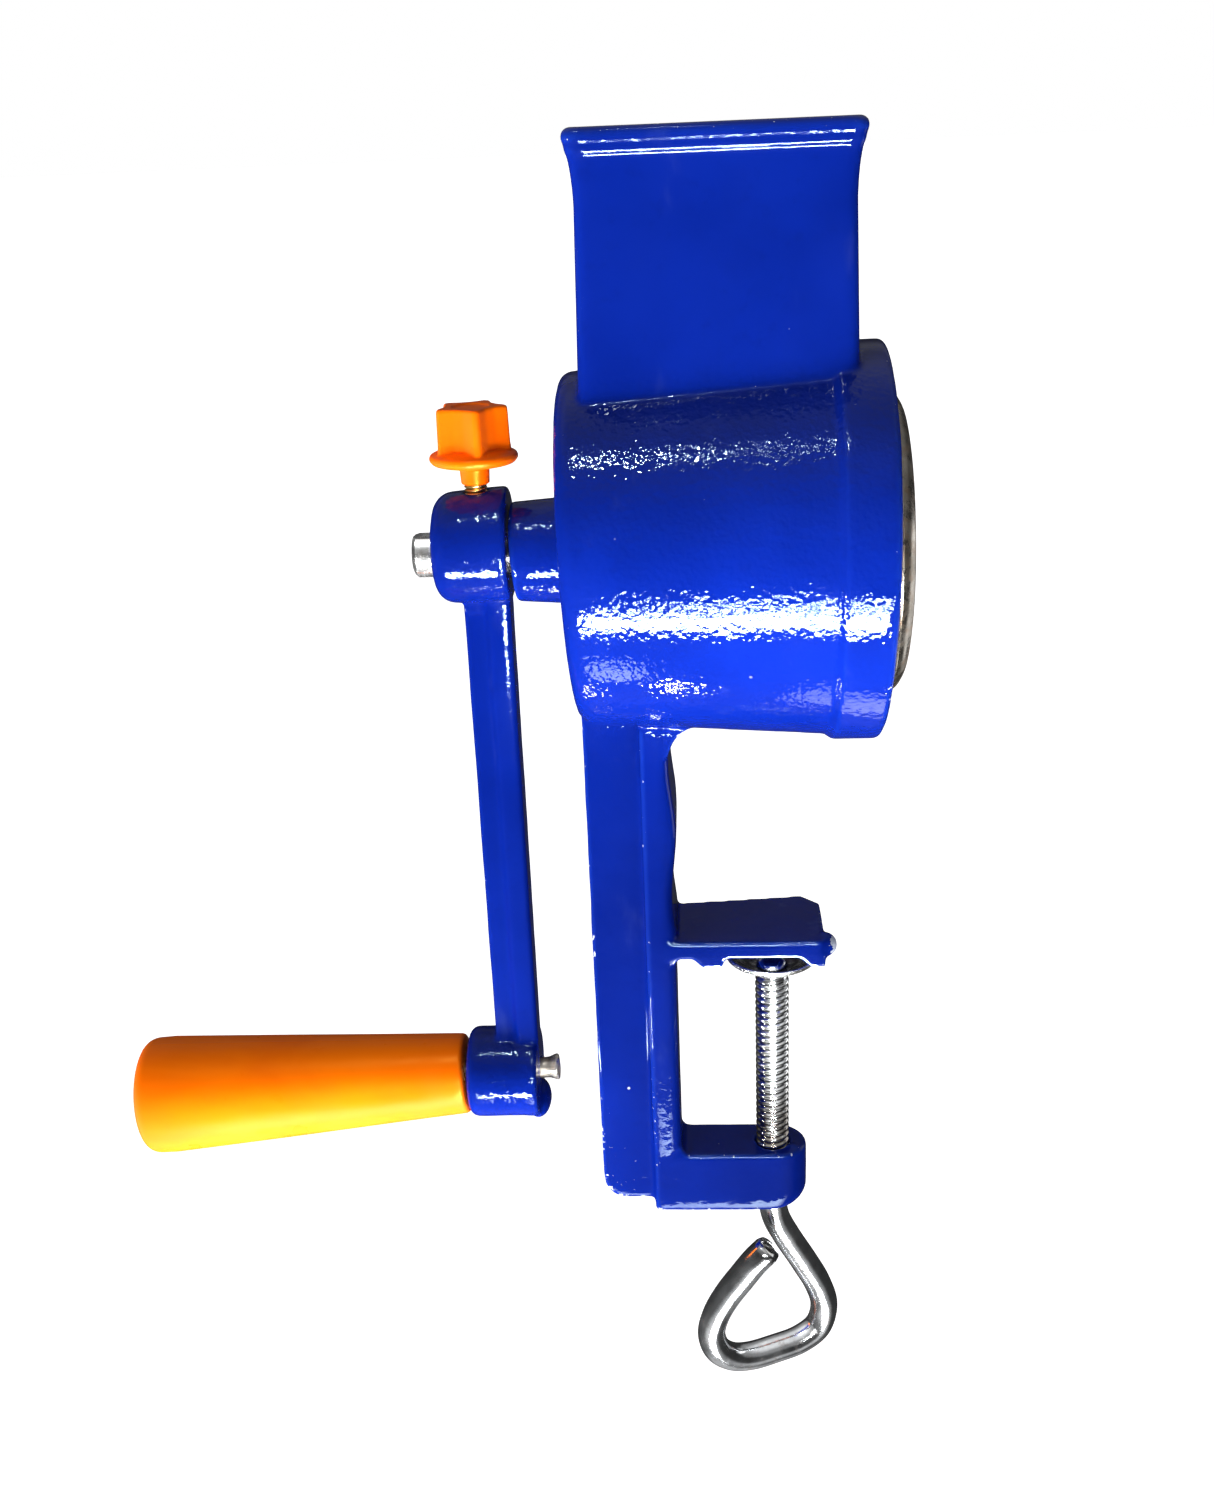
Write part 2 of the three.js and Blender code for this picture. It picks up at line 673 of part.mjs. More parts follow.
/** Moulded knob: a star on a round flange with a dished underside and a short neck. */
function thumbKnob() {
  const flange = turnedZ(
    [
      [0, KNOB_BOTTOM - 1.4],
      [STUD_R + 1, KNOB_BOTTOM - 1.4],
      [STUD_R + 1.3, KNOB_BOTTOM],
      [KNOB_FLANGE_R - 0.9, KNOB_BOTTOM + 1],
      [KNOB_FLANGE_R, KNOB_BOTTOM + 1.8],
      [KNOB_FLANGE_R - 0.4, KNOB_BOTTOM + 2.6],
      [KNOB_TIP_R - 0.6, KNOB_FLANGE_TOP],
      [0, KNOB_FLANGE_TOP],
    ],
    32,
    STUD_X,
  );
  const star = block(starOutline(), [KNOB_FLANGE_TOP - 1, KNOB_TOP]);
  return cut(join(flange, star), rodZ([KNOB_BOTTOM - 3, STUD_TOP + GAP], STUD_HOLE_R, 24, STUD_X));
}

/** Tapered handle grip, thick at its outer end, with a bore and a pocket for the pin's head. */
function grip() {
  const left = GRIP_RIGHT - GRIP_LENGTH;
  const profile = [
    [left, GRIP_POCKET_R],
    ...arc(left + GRIP_DOME, GRIP_R_LEFT - GRIP_DOME, GRIP_DOME, 180, 88, 5),
    ...arc(GRIP_RIGHT - GRIP_EDGE, GRIP_R_RIGHT - GRIP_EDGE, GRIP_EDGE, 86, 0, 3),
    [GRIP_RIGHT, GRIP_BORE_R],
    [left + GRIP_POCKET, GRIP_BORE_R],
    [left + GRIP_POCKET, GRIP_POCKET_R],
    [left, GRIP_POCKET_R],
  ];
  return turnedX(profile, 32);
}

/** Steel pin that the grip turns on: a head in the grip's pocket, a flared end past the hub. */
function gripPin() {
  const [left, right] = PIN_X;
  const head = 2.2;
  const profile = [
    [left, 0],
    [left, PIN_HEAD_R - 0.6],
    [left + 0.6, PIN_HEAD_R],
    [left + head, PIN_HEAD_R],
    [left + head, PIN_R],
    [right - 2, PIN_R],
    [right - 0.4, PIN_FLARE_R],
    [right, PIN_FLARE_R],
    [right, PIN_R - 0.6],
    [right - 1.4, PIN_R - 1.3],
    [right - 1.4, 0],
  ];
  return turnedX(profile, 24);
}

function gripWasher() {
  const left = PIN_X[0] + 2.2 + GAP;
  const right = GRIP_RIGHT - GRIP_LENGTH + GRIP_POCKET - GAP;
  return tubeX([left, right], PIN_R + GAP, GRIP_POCKET_R - GAP, 24);
}

// ---------------------------------------------------------------- clamp screw

/** Centre line of the wire loop, as [along the loop's plane, out of the plane, z]. */
function loopCurve() {
  const points = [
    [0, 0, SCREW_THREAD_Z[0] + 2],
    [0, 0, -72.5],
    [0.8, 0, -77],
    [3.6, 0, -83.4],
    [8.6, 0, -93],
    [12.4, 0, -101],
    [14.3, 0, -108.6],
    [12.6, 0, -114.7],
    [7.6, 0, -117.6],
    [0, -0.1, -118.4],
    [-6.5, -0.3, -118.3],
    [-11.6, -0.6, -116.7],
    [-15.7, -0.8, -112.9],
    [-17.5, -1.1, -107],
    [-16.5, -1.8, -101.1],
    [-13.9, -3, -95],
    [-10.6, -4.6, -89.1],
    [-7.3, -6.2, -83.5],
    [-4.3, -7.4, -79.8],
  ];
  return new THREE.CatmullRomCurve3(points.map((p) => new THREE.Vector3(...p)), false, 'centripetal');
}

function wireLoop() {
  const section = new THREE.Shape(arc(0, 0, WIRE_R, 0, 324, 9).map(([x, y]) => new THREE.Vector2(x, y)));
  const sweep = { steps: 44, extrudePath: loopCurve(), bevelEnabled: false };
  const geometry = new THREE.ExtrudeGeometry(section, sweep);
  return solid(geometry.rotateZ(degrees(LOOP_TURN)));
}

/** Threaded spindle with its wire-loop handle; the peened end above the neck holds the pad. */
function clampScrew() {
  const [bottom, top] = SCREW_THREAD_Z;
  const floor = PAD_BOTTOM + PAD_SHEET + GAP;
  const spindle = turnedZ(
    [
      [0, bottom],
      [SCREW_CORE_R, bottom],
      [SCREW_CORE_R, top],
      [NECK_R, top],
      [NECK_R, floor],
      [NECK_R + 1.4, floor],
      [NECK_R + 0.9, floor + 1],
      [0, floor + 1.6],
    ],
    24,
  );
  return join(spindle, wireLoop());
}

/** Dished swivel pad that presses on the table's underside. */
function clampPad() {
  const hole = NECK_R + GAP;
  const profile = [
    [hole, PAD_BOTTOM],
    [PAD_FOOT_R, PAD_BOTTOM],
    [PAD_R - 0.6, PAD_TOP - 1.5],
    [PAD_R, PAD_TOP - 0.9],
    [PAD_R, PAD_TOP],
    [PAD_R - 1.1, PAD_TOP],
    [PAD_FOOT_R - 0.5, PAD_BOTTOM + PAD_SHEET],
    [hole, PAD_BOTTOM + PAD_SHEET],
    [hole, PAD_BOTTOM],
  ];
  return turnedZ(profile, 36);
}

// ---------------------------------------------------------------- assembly

function drum() {
  const group = new THREE.Group();
  group.add(
    part('drum_shaft', drumShaft(), zinc),
    part('drum_sleeve', drumSleeve(), steel),
    part('drum_end_ring', drumEndRing(), steel),
    part('drum_back_plate', drumBackPlate(), steel),
    part('drum_hub', drumHub(), steel),
    part('drum_hub_pin', crossPinTool(CROSS_PIN_R, DRUM_HUB_R + 0.5), zinc),
    part('thrust_washer', thrustWasher(), zinc),
  );
  for (let i = 0; i < RIVETS; i += 1) {
    group.add(part(`drum_rivet_${i + 1}`, drumRivet(i), steel));
  }
  return group;
}

function handle() {
  const group = gripPlacement(new THREE.Group());
  group.add(
    part('handle_grip', grip(), orange),
    part('grip_pin', gripPin(), steel),
    part('grip_pin_washer', gripWasher(), zinc),
  );
  return group;
}

const grater = new THREE.Group();
grater.add(
  part('body_casting', bodyCasting(), enamel),
  drum(),
  part('crank_arm', crankArm(), enamel),
  part('thumb_screw_stud', thumbStud(), zinc),
  part('thumb_screw_knob', thumbKnob(), orange),
  handle(),
  part('clamp_screw', clampScrew(), zinc),
  part('clamp_pad', clampPad(), zinc),
);

export default grater;
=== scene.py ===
"""Looks of a table-clamped rotary cheese grater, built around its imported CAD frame."""

from math import atan2, cos, pi, radians, sin, sqrt

import bmesh
import bpy
import numpy as np
from numpy.linalg import norm
from mathutils import Matrix, Vector, noise


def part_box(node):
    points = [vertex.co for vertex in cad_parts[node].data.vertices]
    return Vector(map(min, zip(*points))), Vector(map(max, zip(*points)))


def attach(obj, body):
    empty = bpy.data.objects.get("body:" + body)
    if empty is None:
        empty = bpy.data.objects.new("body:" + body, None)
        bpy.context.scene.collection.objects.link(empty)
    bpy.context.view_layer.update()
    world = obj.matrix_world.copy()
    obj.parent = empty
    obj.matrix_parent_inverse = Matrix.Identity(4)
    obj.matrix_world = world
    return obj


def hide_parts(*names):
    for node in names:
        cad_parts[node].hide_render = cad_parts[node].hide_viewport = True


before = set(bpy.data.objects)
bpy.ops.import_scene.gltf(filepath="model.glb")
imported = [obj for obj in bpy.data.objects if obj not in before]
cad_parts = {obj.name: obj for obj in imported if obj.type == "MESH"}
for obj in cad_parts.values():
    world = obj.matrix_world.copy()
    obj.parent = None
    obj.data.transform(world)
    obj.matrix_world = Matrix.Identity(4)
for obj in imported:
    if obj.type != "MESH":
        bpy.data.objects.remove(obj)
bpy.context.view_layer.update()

MM = 0.001
SCENE = bpy.context.scene
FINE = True


def box_mm(node):
    """Lowest and highest corner of a CAD node, in millimetres."""
    low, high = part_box(node)
    return np.array(low) / MM, np.array(high) / MM


# -- places taken from the frame

SLEEVE = box_mm("drum_sleeve")
RING = box_mm("drum_end_ring")
DISC = box_mm("drum_back_plate")
HUB = box_mm("drum_hub")
WASHER = box_mm("thrust_washer")
STUD = box_mm("thumb_screw_stud")

AXIS_Z = (SLEEVE[0][2] + SLEEVE[1][2]) / 2
STUD_X = (STUD[0][0] + STUD[1][0]) / 2
CRANK_RADIUS = 128.8
LOWER_Z = AXIS_Z - CRANK_RADIUS
GRIP_TILT = 4.0
GRIP_CENTRE = (-64.6, 0.0, LOWER_Z)

# -- mesh helpers


def arc(cx, cy, r, start, end, steps=6):
    """Points on an arc, from one angle to another in degrees."""
    angles = np.radians(np.linspace(start, end, steps + 1))
    return [(cx + r * cos(a), cy + r * sin(a)) for a in angles]


def rounded(points, radius, steps=5, closed=False):
    """Polyline with rounded corners. radius is one number, or one for each point."""
    pts = [np.array(p, float) for p in points]
    count = len(pts)
    radii = [radius] * count if np.isscalar(radius) else list(radius)
    out = []
    for i, p in enumerate(pts):
        if not closed and i in (0, count - 1):
            out.append(tuple(p))
            continue
        before, after = pts[i - 1] - p, pts[(i + 1) % count] - p
        reach = min(radii[i], 0.48 * norm(before), 0.48 * norm(after))
        if reach < 1e-6:
            out.append(tuple(p))
            continue
        a = p + before / norm(before) * reach
        b = p + after / norm(after) * reach
        for t in np.linspace(0, 1, steps + 1):
            out.append(tuple((1 - t) ** 2 * a + 2 * t * (1 - t) * p + t * t * b))
    return out


def add_object(name, data):
    obj = bpy.data.objects.new(name, data)
    SCENE.collection.objects.link(obj)
    return obj


def new_object(name, verts, faces):
    """Closed, smooth-shaded mesh object from points in millimetres."""
    mesh = bpy.data.meshes.new(name)
    mesh.from_pydata([tuple(MM * c for c in v) for v in verts], [], faces)
    work = bmesh.new()
    work.from_mesh(mesh)
    bmesh.ops.remove_doubles(work, verts=work.verts, dist=1e-7)
    bmesh.ops.dissolve_degenerate(work, edges=work.edges, dist=1e-8)
    bmesh.ops.recalc_face_normals(work, faces=work.faces)
    work.to_mesh(mesh)
    work.free()
    mesh.shade_smooth()
    return add_object(name, mesh)


def turns(count):
    return np.linspace(0, 2 * pi, count, endpoint=False)


def grid_faces(rows, columns, wrap_rows=False):
    """Quads between rows of a grid whose columns wrap round."""
    faces = []
    for i in range(rows if wrap_rows else rows - 1):
        j = (i + 1) % rows
        for k in range(columns):
            n = (k + 1) % columns
            faces.append((i * columns + k, i * columns + n, j * columns + n, j * columns + k))
    return faces


def lathe_x(name, profile, segments=128, height=None, centre_y=0.0):
    """Solid turned about a line parallel to X from [x, radius] points, a ring if none is on the axis."""
    height = AXIS_Z if height is None else height
    turn = turns(segments)
    verts = [(x, centre_y + r * sin(a), height + r * cos(a)) for x, r in profile for a in turn]
    return new_object(name, verts, grid_faces(len(profile), segments, profile[0][1] > 0))


def lathe_z(name, profile, segments=96, centre=0.0):
    """Solid turned about a line parallel to Z from [radius, z] points, likewise."""
    turn = turns(segments)
    verts = [(centre + r * cos(a), r * sin(a), z) for r, z in profile for a in turn]
    return new_object(name, verts, grid_faces(len(profile), segments, profile[0][0] > 0))


def loft(name, sections):
    """Skin over a stack of equal-length outlines, each a list of (x, y, z) points."""
    count = len(sections[0])
    verts = [p for section in sections for p in section]
    faces = grid_faces(len(sections), count)
    faces.append(tuple(range(count)))
    faces.append(tuple(range((len(sections) - 1) * count, len(sections) * count)))
    return new_object(name, verts, faces)


def stack(name, levels):
    """Skin over outlines in X and Y, each given after its height."""
    return loft(name, [[(x, y, z) for x, y in outline] for z, outline in levels])


def slab(name, outline, low, high):
    """Outline in X and Z, made solid between two Y values."""
    return loft(name, [[(x, y, z) for x, z in outline] for y in (low, high)])


def rectangle(x0, x1, y0, y1, radius):
    """Outline of a rectangle with round corners."""
    corners = [(x1, y1), (x0, y1), (x0, y0), (x1, y0)]
    return rounded(corners, radius, closed=True)


def evaluate(obj):
    """Applies every modifier of an object to its mesh."""
    bpy.context.view_layer.update()
    graph = bpy.context.evaluated_depsgraph_get()
    mesh = bpy.data.meshes.new_from_object(obj.evaluated_get(graph))
    obj.modifiers.clear()
    old, obj.data = obj.data, mesh
    bpy.data.meshes.remove(old)
    mesh.shade_smooth()
    return obj


def combine(base, tools, operation):
    """Adds tools to a solid, or cuts them from it, and removes the tools."""
    for tool in tools:
        modifier = base.modifiers.new("combine", "BOOLEAN")
        modifier.operation = operation
        modifier.solver = "MANIFOLD"
        modifier.object = tool
    evaluate(base)
    for tool in tools:
        bpy.data.objects.remove(tool, do_unlink=True)
    return base


def cast_skin(obj, voxel):
    """Turns a sharp solid into one even mesh, fit to be rounded by relax."""
    remesh = obj.modifiers.new("remesh", "REMESH")
    remesh.mode = "VOXEL"
    remesh.voxel_size = voxel * MM * (1 if FINE else 1.7)
    return evaluate(obj)


def points_of(obj):
    co = np.empty(len(obj.data.vertices) * 3, np.float32)
    obj.data.vertices.foreach_get("co", co)
    return co.reshape(-1, 3).astype(float)


def normals_of(obj):
    n = np.empty(len(obj.data.vertices) * 3, np.float32)
    obj.data.vertex_normals.foreach_get("vector", n)
    return n.reshape(-1, 3).astype(float)


def value_noise(points, size, seed):
    """Noise from -1 to 1 at each point, with bumps about size millimetres apart."""
    scaled = points / (size * MM) + seed * 17.31
    return np.array([noise.noise(Vector(p)) for p in scaled])


def set_points(obj, co):
    obj.data.vertices.foreach_set("co", co.astype(np.float32).ravel())
    obj.data.update()


def push(obj, amounts):
    """Moves each point of a mesh along its normal by so many millimetres."""
    set_points(obj, points_of(obj) + normals_of(obj) * (amounts * MM)[:, None])


def roughen(obj, size, seed, depth):
    """Makes a surface a little uneven."""
    push(obj, value_noise(points_of(obj), size, seed) * depth)


def neighbours_mean(mesh, values, passes):
    """Values averaged with those of neighbouring points, some passes over."""
    edges = np.empty(len(mesh.edges) * 2, np.int32)
    mesh.edges.foreach_get("vertices", edges)
    a, b = edges.reshape(-1, 2).T
    count = np.bincount(a, minlength=len(values)) + np.bincount(b, minlength=len(values)) + 1.0
    for _ in range(passes):
        total = values.copy()
        for k in range(values.shape[1]):
            total[:, k] += np.bincount(a, values[b, k], len(values))
            total[:, k] += np.bincount(b, values[a, k], len(values))
        values = total / count[:, None]
    return values


def store(obj, name, values):
    attribute = obj.data.attributes.get(name) or obj.data.attributes.new(name, "FLOAT", "POINT")
    attribute.data.foreach_set("value", values.astype(np.float32))


def mark_edges(obj, passes):
    """Stores how far each point stands proud of its surroundings, for worn edges, painted highlights on proud
    edges and painted shade in hollows.
    """
    co = points_of(obj)
    proud = np.einsum("ij,ij->i", co - neighbours_mean(obj.data, co, passes), normals_of(obj)) / MM
    store(obj, "edge", np.clip(proud / 0.25, -1, 1))


def mark_thread(obj, centre, core, crest, low, high):
    """Marks a thread between two heights: its crests for wear and a painted highlight, its roots for painted
    shade.
    """
    co = points_of(obj) / MM
    r = np.hypot(co[:, 0] - centre[0], co[:, 1] - centre[1])
    proud = np.clip((r - (core + crest) / 2) / ((crest - core) / 2), -1, 1)
    inside = (co[:, 2] > low) & (co[:, 2] < high)
    store(obj, "edge", np.where(inside, proud, 0.0))


def catmull(points, samples):
    """Points on a centripetal Catmull-Rom curve, even in its parameter."""
    p = [np.array(q, float) for q in points]
    p = [2 * p[0] - p[1]] + p + [2 * p[-1] - p[-2]]
    out = []
    spans = len(p) - 3
    for s in np.linspace(0, spans, samples):
        i = min(int(s), spans - 1)
        t = s - i
        q = p[i : i + 4]
        knots = [0.0]
        for a, b in zip(q, q[1:]):
            knots.append(knots[-1] + sqrt(norm(b - a)))
        u = knots[1] + t * (knots[2] - knots[1])

        def mix(a, b, low, high):
            return (high - u) / (high - low) * a + (u - low) / (high - low) * b

        first = [mix(q[k], q[k + 1], knots[k], knots[k + 1]) for k in range(3)]
        second = [mix(first[k], first[k + 1], knots[k], knots[k + 2]) for k in range(2)]
        out.append(mix(second[0], second[1], knots[1], knots[2]))
    return np.array(out)


def helix_radius(core, crest, pitch, z, angle):
    """Radius of a right-hand thread with flat crests at one height and angle."""
    phase = (z / pitch - angle / (2 * pi)) % 1.0
    rise = np.clip(1.3 - 2.6 * abs(phase - 0.5), 0, 1)
    return core + (crest - core) * rise * rise * (3 - 2 * rise)


# -- shader helpers


class Look:
    """A node tree with short ways to add nodes. A socket's value may be another socket."""

    def __init__(self, tree):
        self.nodes, self.links = tree.nodes, tree.links
        self.shader = tree.nodes.get("Principled BSDF") or tree.nodes["Background"]

    def add(self, kind, values=(), out=0, **settings):
        node = self.nodes.new("ShaderNode" + kind)
        for key, value in settings.items():
            setattr(node, key, value)
        for key, value in dict(values).items():
            self.join(value, node.inputs[key])
        return node.outputs[out]

    def join(self, value, socket):
        if isinstance(value, bpy.types.NodeSocket):
            self.links.new(value, socket)
        else:
            socket.default_value = value

    def set(self, name, value):
        """Gives one of the shader's own sockets a value."""
        self.join(value, self.shader.inputs[name])

    def place(self, stretch=(1, 1, 1)):
        """The piece's own coordinates in metres, stretched."""
        where = self.add("TexCoord", out="Object")
        return self.add("Mapping", {"Vector": where, "Scale": stretch}, vector_type="POINT")

    def noise(self, where, size, detail=2.0, rough=0.5, distort=0.0):
        """Noise from 0 to 1 whose features are about size millimetres across."""
        values = {"Vector": where, "Scale": 1 / (size * MM), "Detail": detail}
        values.update({"Roughness": rough, "Distortion": distort})
        return self.add("TexNoise", values)

    def cells(self, where, size):
        """Distance to the nearest of points scattered about size millimetres apart."""
        return self.add("TexVoronoi", {"Vector": where, "Scale": 1 / (size * MM)})

    def ramp(self, value, low, high, first=0.0, last=1.0):
        """first below low, last above high, and a smooth step between."""
        values = {"Value": value, "From Min": low, "From Max": high, "To Min": first, "To Max": last}
        return self.add("MapRange", values, interpolation_type="SMOOTHSTEP")

    def maths(self, operation, a, b=0.0):
        return self.add("Math", {0: a, 1: b}, operation=operation)

    def plus(self, a, b):
        return self.maths("ADD", a, b)

    def times(self, a, b):
        return self.maths("MULTIPLY", a, b)

    def mix(self, factor, a, b):
        """Colour a where factor is 0 and colour b where it is 1."""
        node = self.nodes.new("ShaderNodeMix")
        node.data_type = "RGBA"
        self.join(factor, node.inputs["Factor"])
        for value, socket in zip((a, b), node.inputs[6:8]):
            self.join(value if isinstance(value, bpy.types.NodeSocket) else (*value, 1.0), socket)
        return node.outputs[2]

    def attribute(self, name):
        return self.add("Attribute", out="Fac", attribute_name=name)

    def bump(self, height, depth, before=None):
        """Bumps of depth millimetres where height goes from 0 to 1."""
        values = {"Height": height, "Distance": depth * MM, "Strength": 1.0}
        if before is not None:
            values["Normal"] = before
        return self.add("Bump", values)


def material(name, colour_preview):
    """A new material and a Look on its nodes."""
    made = bpy.data.materials.new(name)
    made.use_nodes = True
    made.diffuse_color = (*colour_preview, 1.0)
    return made, Look(made.node_tree)


def enamel():
    """Thick glossy blue enamel over rough cast metal, with chips, thin worn edges, and proud edges lighter,
    partly as thinner paint and partly as a painted highlight.
    """
    made, look = material("blue_enamel_gloss", (0.01, 0.03, 0.4))
    where = look.place()
    broad = look.noise(where, 26, detail=3)
    fine = look.noise(where, 3.2, detail=3)
    paint = look.mix(look.ramp(broad, 0.3, 0.7), (0.0010, 0.0078, 0.136), (0.0014, 0.0102, 0.170))
    paint = look.mix(look.ramp(fine, 0.55, 0.8, 0, 0.35), paint, (0.0009, 0.0066, 0.116))
    edge = look.attribute("edge")
    # Proud edges lighter: partly thinner paint, partly a painted highlight.
    paint = look.mix(look.ramp(edge, 0.25, 0.9, 0, 0.35), paint, (0.006, 0.030, 0.28))
    wear = look.attribute("wear")
    ragged = look.noise(where, 1.3, detail=4, rough=0.6)
    thin = look.times(look.ramp(edge, 0.1, 0.9), 0.12)
    reach = look.plus(look.plus(ragged, thin), look.times(wear, 0.12))
    chip = look.ramp(reach, 0.765, 0.80)
    specks = look.ramp(look.cells(where, 5.5), 0.075, 0.05)
    speck = look.times(specks, look.ramp(look.noise(where, 11), 0.60, 0.66))
    dust = look.ramp(look.noise(look.place((1, 1, 0.3)), 7, detail=4), 0.62, 0.82, 0, 0.10)
    paint = look.mix(dust, paint, (0.10, 0.14, 0.34))
    bare = look.mix(look.noise(where, 1.1), (0.24, 0.27, 0.38), (0.48, 0.51, 0.60))
    bared = look.maths("MAXIMUM", chip, look.times(speck, 0.75))
    look.set("Base Color", look.mix(bared, paint, bare))
    smeared = look.ramp(look.noise(look.place((1, 1, 0.5)), 14, detail=3), 0.35, 0.75, 0.035, 0.10)
    look.set("Roughness", look.mix(bared, smeared, (0.5,) * 3))
    coat = look.attribute("coat")
    peel = look.noise(where, 1.15, detail=1.5, rough=0.4)
    lumps = look.noise(where, 2.6, detail=1)
    normal = look.bump(look.times(lumps, coat), 0.06)
    normal = look.bump(look.times(peel, coat), 0.13, normal)
    normal = look.bump(look.maths("SUBTRACT", 1, bared), 0.05, normal)
    look.set("Normal", normal)
    look.set("IOR", 1.5)
    look.set("Specular IOR Level", 0.12)
    look.set("Specular Tint", (0.55, 0.78, 1, 1))
    return made


def orange_plastic(name, deep, pale):
    """Moulded orange plastic with faint flow marks, scuffs and a satin grain."""
    made, look = material(name, (0.9, 0.3, 0.01))
    where = look.place()
    flow = look.noise(look.place((0.35, 1, 1)), 17, detail=3, distort=0.6)
    body = look.mix(look.ramp(flow, 0.3, 0.7), deep, pale)
    edge = look.attribute("edge")
    # Painted shade: hollows and creases go deep red.
    body = look.mix(look.ramp(edge, -0.06, -0.6, 0, 0.9), body, (0.74, 0.055, 0.0003))
    dark_mask = look.ramp(look.noise(where, 5.5, detail=5, rough=0.6), 0.62, 0.85, 0, 0.16)
    body = look.mix(dark_mask, body, (0.42, 0.09, 0.004))
    scuffs = look.ramp(look.noise(look.place((0.25, 1, 1)), 1.7, detail=6, rough=0.7), 0.66, 0.80, 0, 0.25)
    rubbed = look.times(scuffs, look.ramp(edge, 0, 0.7, 0.25, 1))
    body = look.mix(rubbed, body, (1, 0.42, 0.05))
    look.set("Base Color", body)
    grain = look.noise(where, 0.45, detail=2)
    satin = look.ramp(look.noise(where, 8, detail=3), 0.3, 0.75, 0.27, 0.42)
    look.set("Roughness", look.plus(satin, rubbed))
    normal = look.bump(grain, 0.008)
    normal = look.bump(look.noise(look.place((0.5, 1, 1)), 6, detail=2), 0.10, normal)
    look.set("Normal", look.bump(rubbed, -0.01, normal))
    look.set("IOR", 1.47)
    look.set("Specular IOR Level", 0.16)
    look.set("Specular Tint", (1, 0.6, 0.08, 1))
    return made


def metal(name, light, dark, rough, turned, stain, stained, spotted=0.5, dark_colour=None, dark_share=1.0):
    """Plated or bare steel: tool marks round its axis, mottling and stains; proud edges lighter, partly worn
    metal and partly a painted highlight; hollows darker as painted shade; a dark colour where a piece marks
    it.
    """
    made, look = material(name, light)
    where = look.place()
    mottled = look.noise(where, 9, detail=5, rough=0.6)
    body = look.mix(look.ramp(mottled, 0.3, 0.72), light, dark)
    spots = look.ramp(look.noise(where, 2.6, detail=5, rough=0.65), 1 - spotted, 1.25 - spotted, 0, 0.8)
    spots = look.times(spots, stained)
    body = look.mix(spots, body, stain)
    edge = look.attribute("edge")
    # Proud edges and thread crests lighter, partly worn metal and partly a painted highlight; hollows and
    # thread roots darker, a painted shade.
    body = look.mix(look.ramp(edge, 0.15, 0.9, 0, 0.6), body, tuple(min(1, 1.12 * c) for c in light))
    body = look.mix(look.ramp(edge, 0.1, -0.9, 0, 0.7), body, tuple(0.2 * c for c in dark))
    # A dark, speckled colour where a piece marks it: painted shade in the shaft's gap and the pad's dish.
    if dark_colour is not None:
        speckle = look.ramp(look.noise(where, 1.6, detail=4), 0.25, 0.55, 0.25, 1)
        amount = look.times(speckle, dark_share)
        body = look.mix(look.times(look.attribute("dark_mask"), amount), body, dark_colour)
    look.set("Base Color", body)
    marks = look.noise(look.place(turned), 0.55, detail=4, rough=0.6)
    uneven = look.ramp(look.noise(where, 3.5, detail=4), 0.25, 0.8, rough * 0.7, rough * 1.45)
    roughness = look.plus(uneven, look.times(spots, 0.25))
    look.set("Roughness", look.plus(roughness, look.ramp(marks, 0.4, 0.7, 0, 0.06)))
    normal = look.bump(marks, 0.010)
    normal = look.bump(look.noise(where, 2.4, detail=3), 0.035, normal)
    look.set("Normal", normal)
    look.set("Metallic", 1)
    return made


ROUND_X = (6.0, 0.25, 0.25)
ROUND_Z = (0.25, 0.25, 6.0)
RUST = (0.22, 0.12, 0.06)
GOLD_GREY = (0.26, 0.20, 0.11)

ENAMEL = enamel()
ORANGE = orange_plastic("orange_plastic_grip", (0.90, 0.138, 0.0003), (0.98, 0.172, 0.0005))
ORANGE_KNOB = orange_plastic("orange_plastic_knob", (0.88, 0.108, 0.0002), (0.96, 0.140, 0.0003))
ZINC = (0.86, 0.87, 0.86), (0.62, 0.63, 0.63), 0.20, ROUND_X, GOLD_GREY, 0.5
ZINC_TURNED = metal("zinc_turned_bar", *ZINC)
SHAFT_METAL = metal("zinc_turned_shaft", *ZINC, dark_colour=(0.01, 0.01, 0.02))
CUP_METAL = metal(
    "zinc_pressed_cup", (0.84, 0.84, 0.82), (0.60, 0.60, 0.58), 0.22, ROUND_Z, GOLD_GREY, 0.5,
    dark_colour=(0.02, 0.02, 0.03),
)
THREAD_METAL = metal(
    "zinc_rolled_thread", (0.88, 0.90, 0.92), (0.62, 0.64, 0.66), 0.12, ROUND_Z, RUST, 0.5,
    dark_colour=(0.09, 0.065, 0.045), dark_share=0.8,
)
STUD_METAL = metal("zinc_stud_thread", (0.80, 0.52, 0.18), (0.50, 0.30, 0.10), 0.24, ROUND_Z, RUST, 0.7)
STEEL_ROLLED = metal(
    "steel_rolled_sheet", (0.40, 0.37, 0.33), (0.19, 0.17, 0.14), 0.24, ROUND_X, RUST, 0.6, spotted=0.56
)
STEEL_TURNED = metal("steel_turned", (0.66, 0.65, 0.62), (0.42, 0.40, 0.37), 0.25, ROUND_X, RUST, 0.6)
STEEL_PIN = metal(
    "steel_pin", (0.60, 0.57, 0.50), (0.36, 0.33, 0.28), 0.28, ROUND_X, RUST, 0.8, spotted=0.56
)
PLATED, STEEL = "zinc_plated_steel", "drum_steel"


def dress(obj, look, body, slot, *nodes, sharp=None, passes=2):
    """Gives a piece its material and body, and hides the CAD nodes it stands for; slot is not used."""
    mark_edges(obj, passes)
    if sharp is not None:
        obj.data.set_sharp_from_angle(angle=radians(sharp))
    obj.data.materials.clear()
    obj.data.materials.append(look)
    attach(obj, body)
    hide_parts(*nodes)


# -- cast body

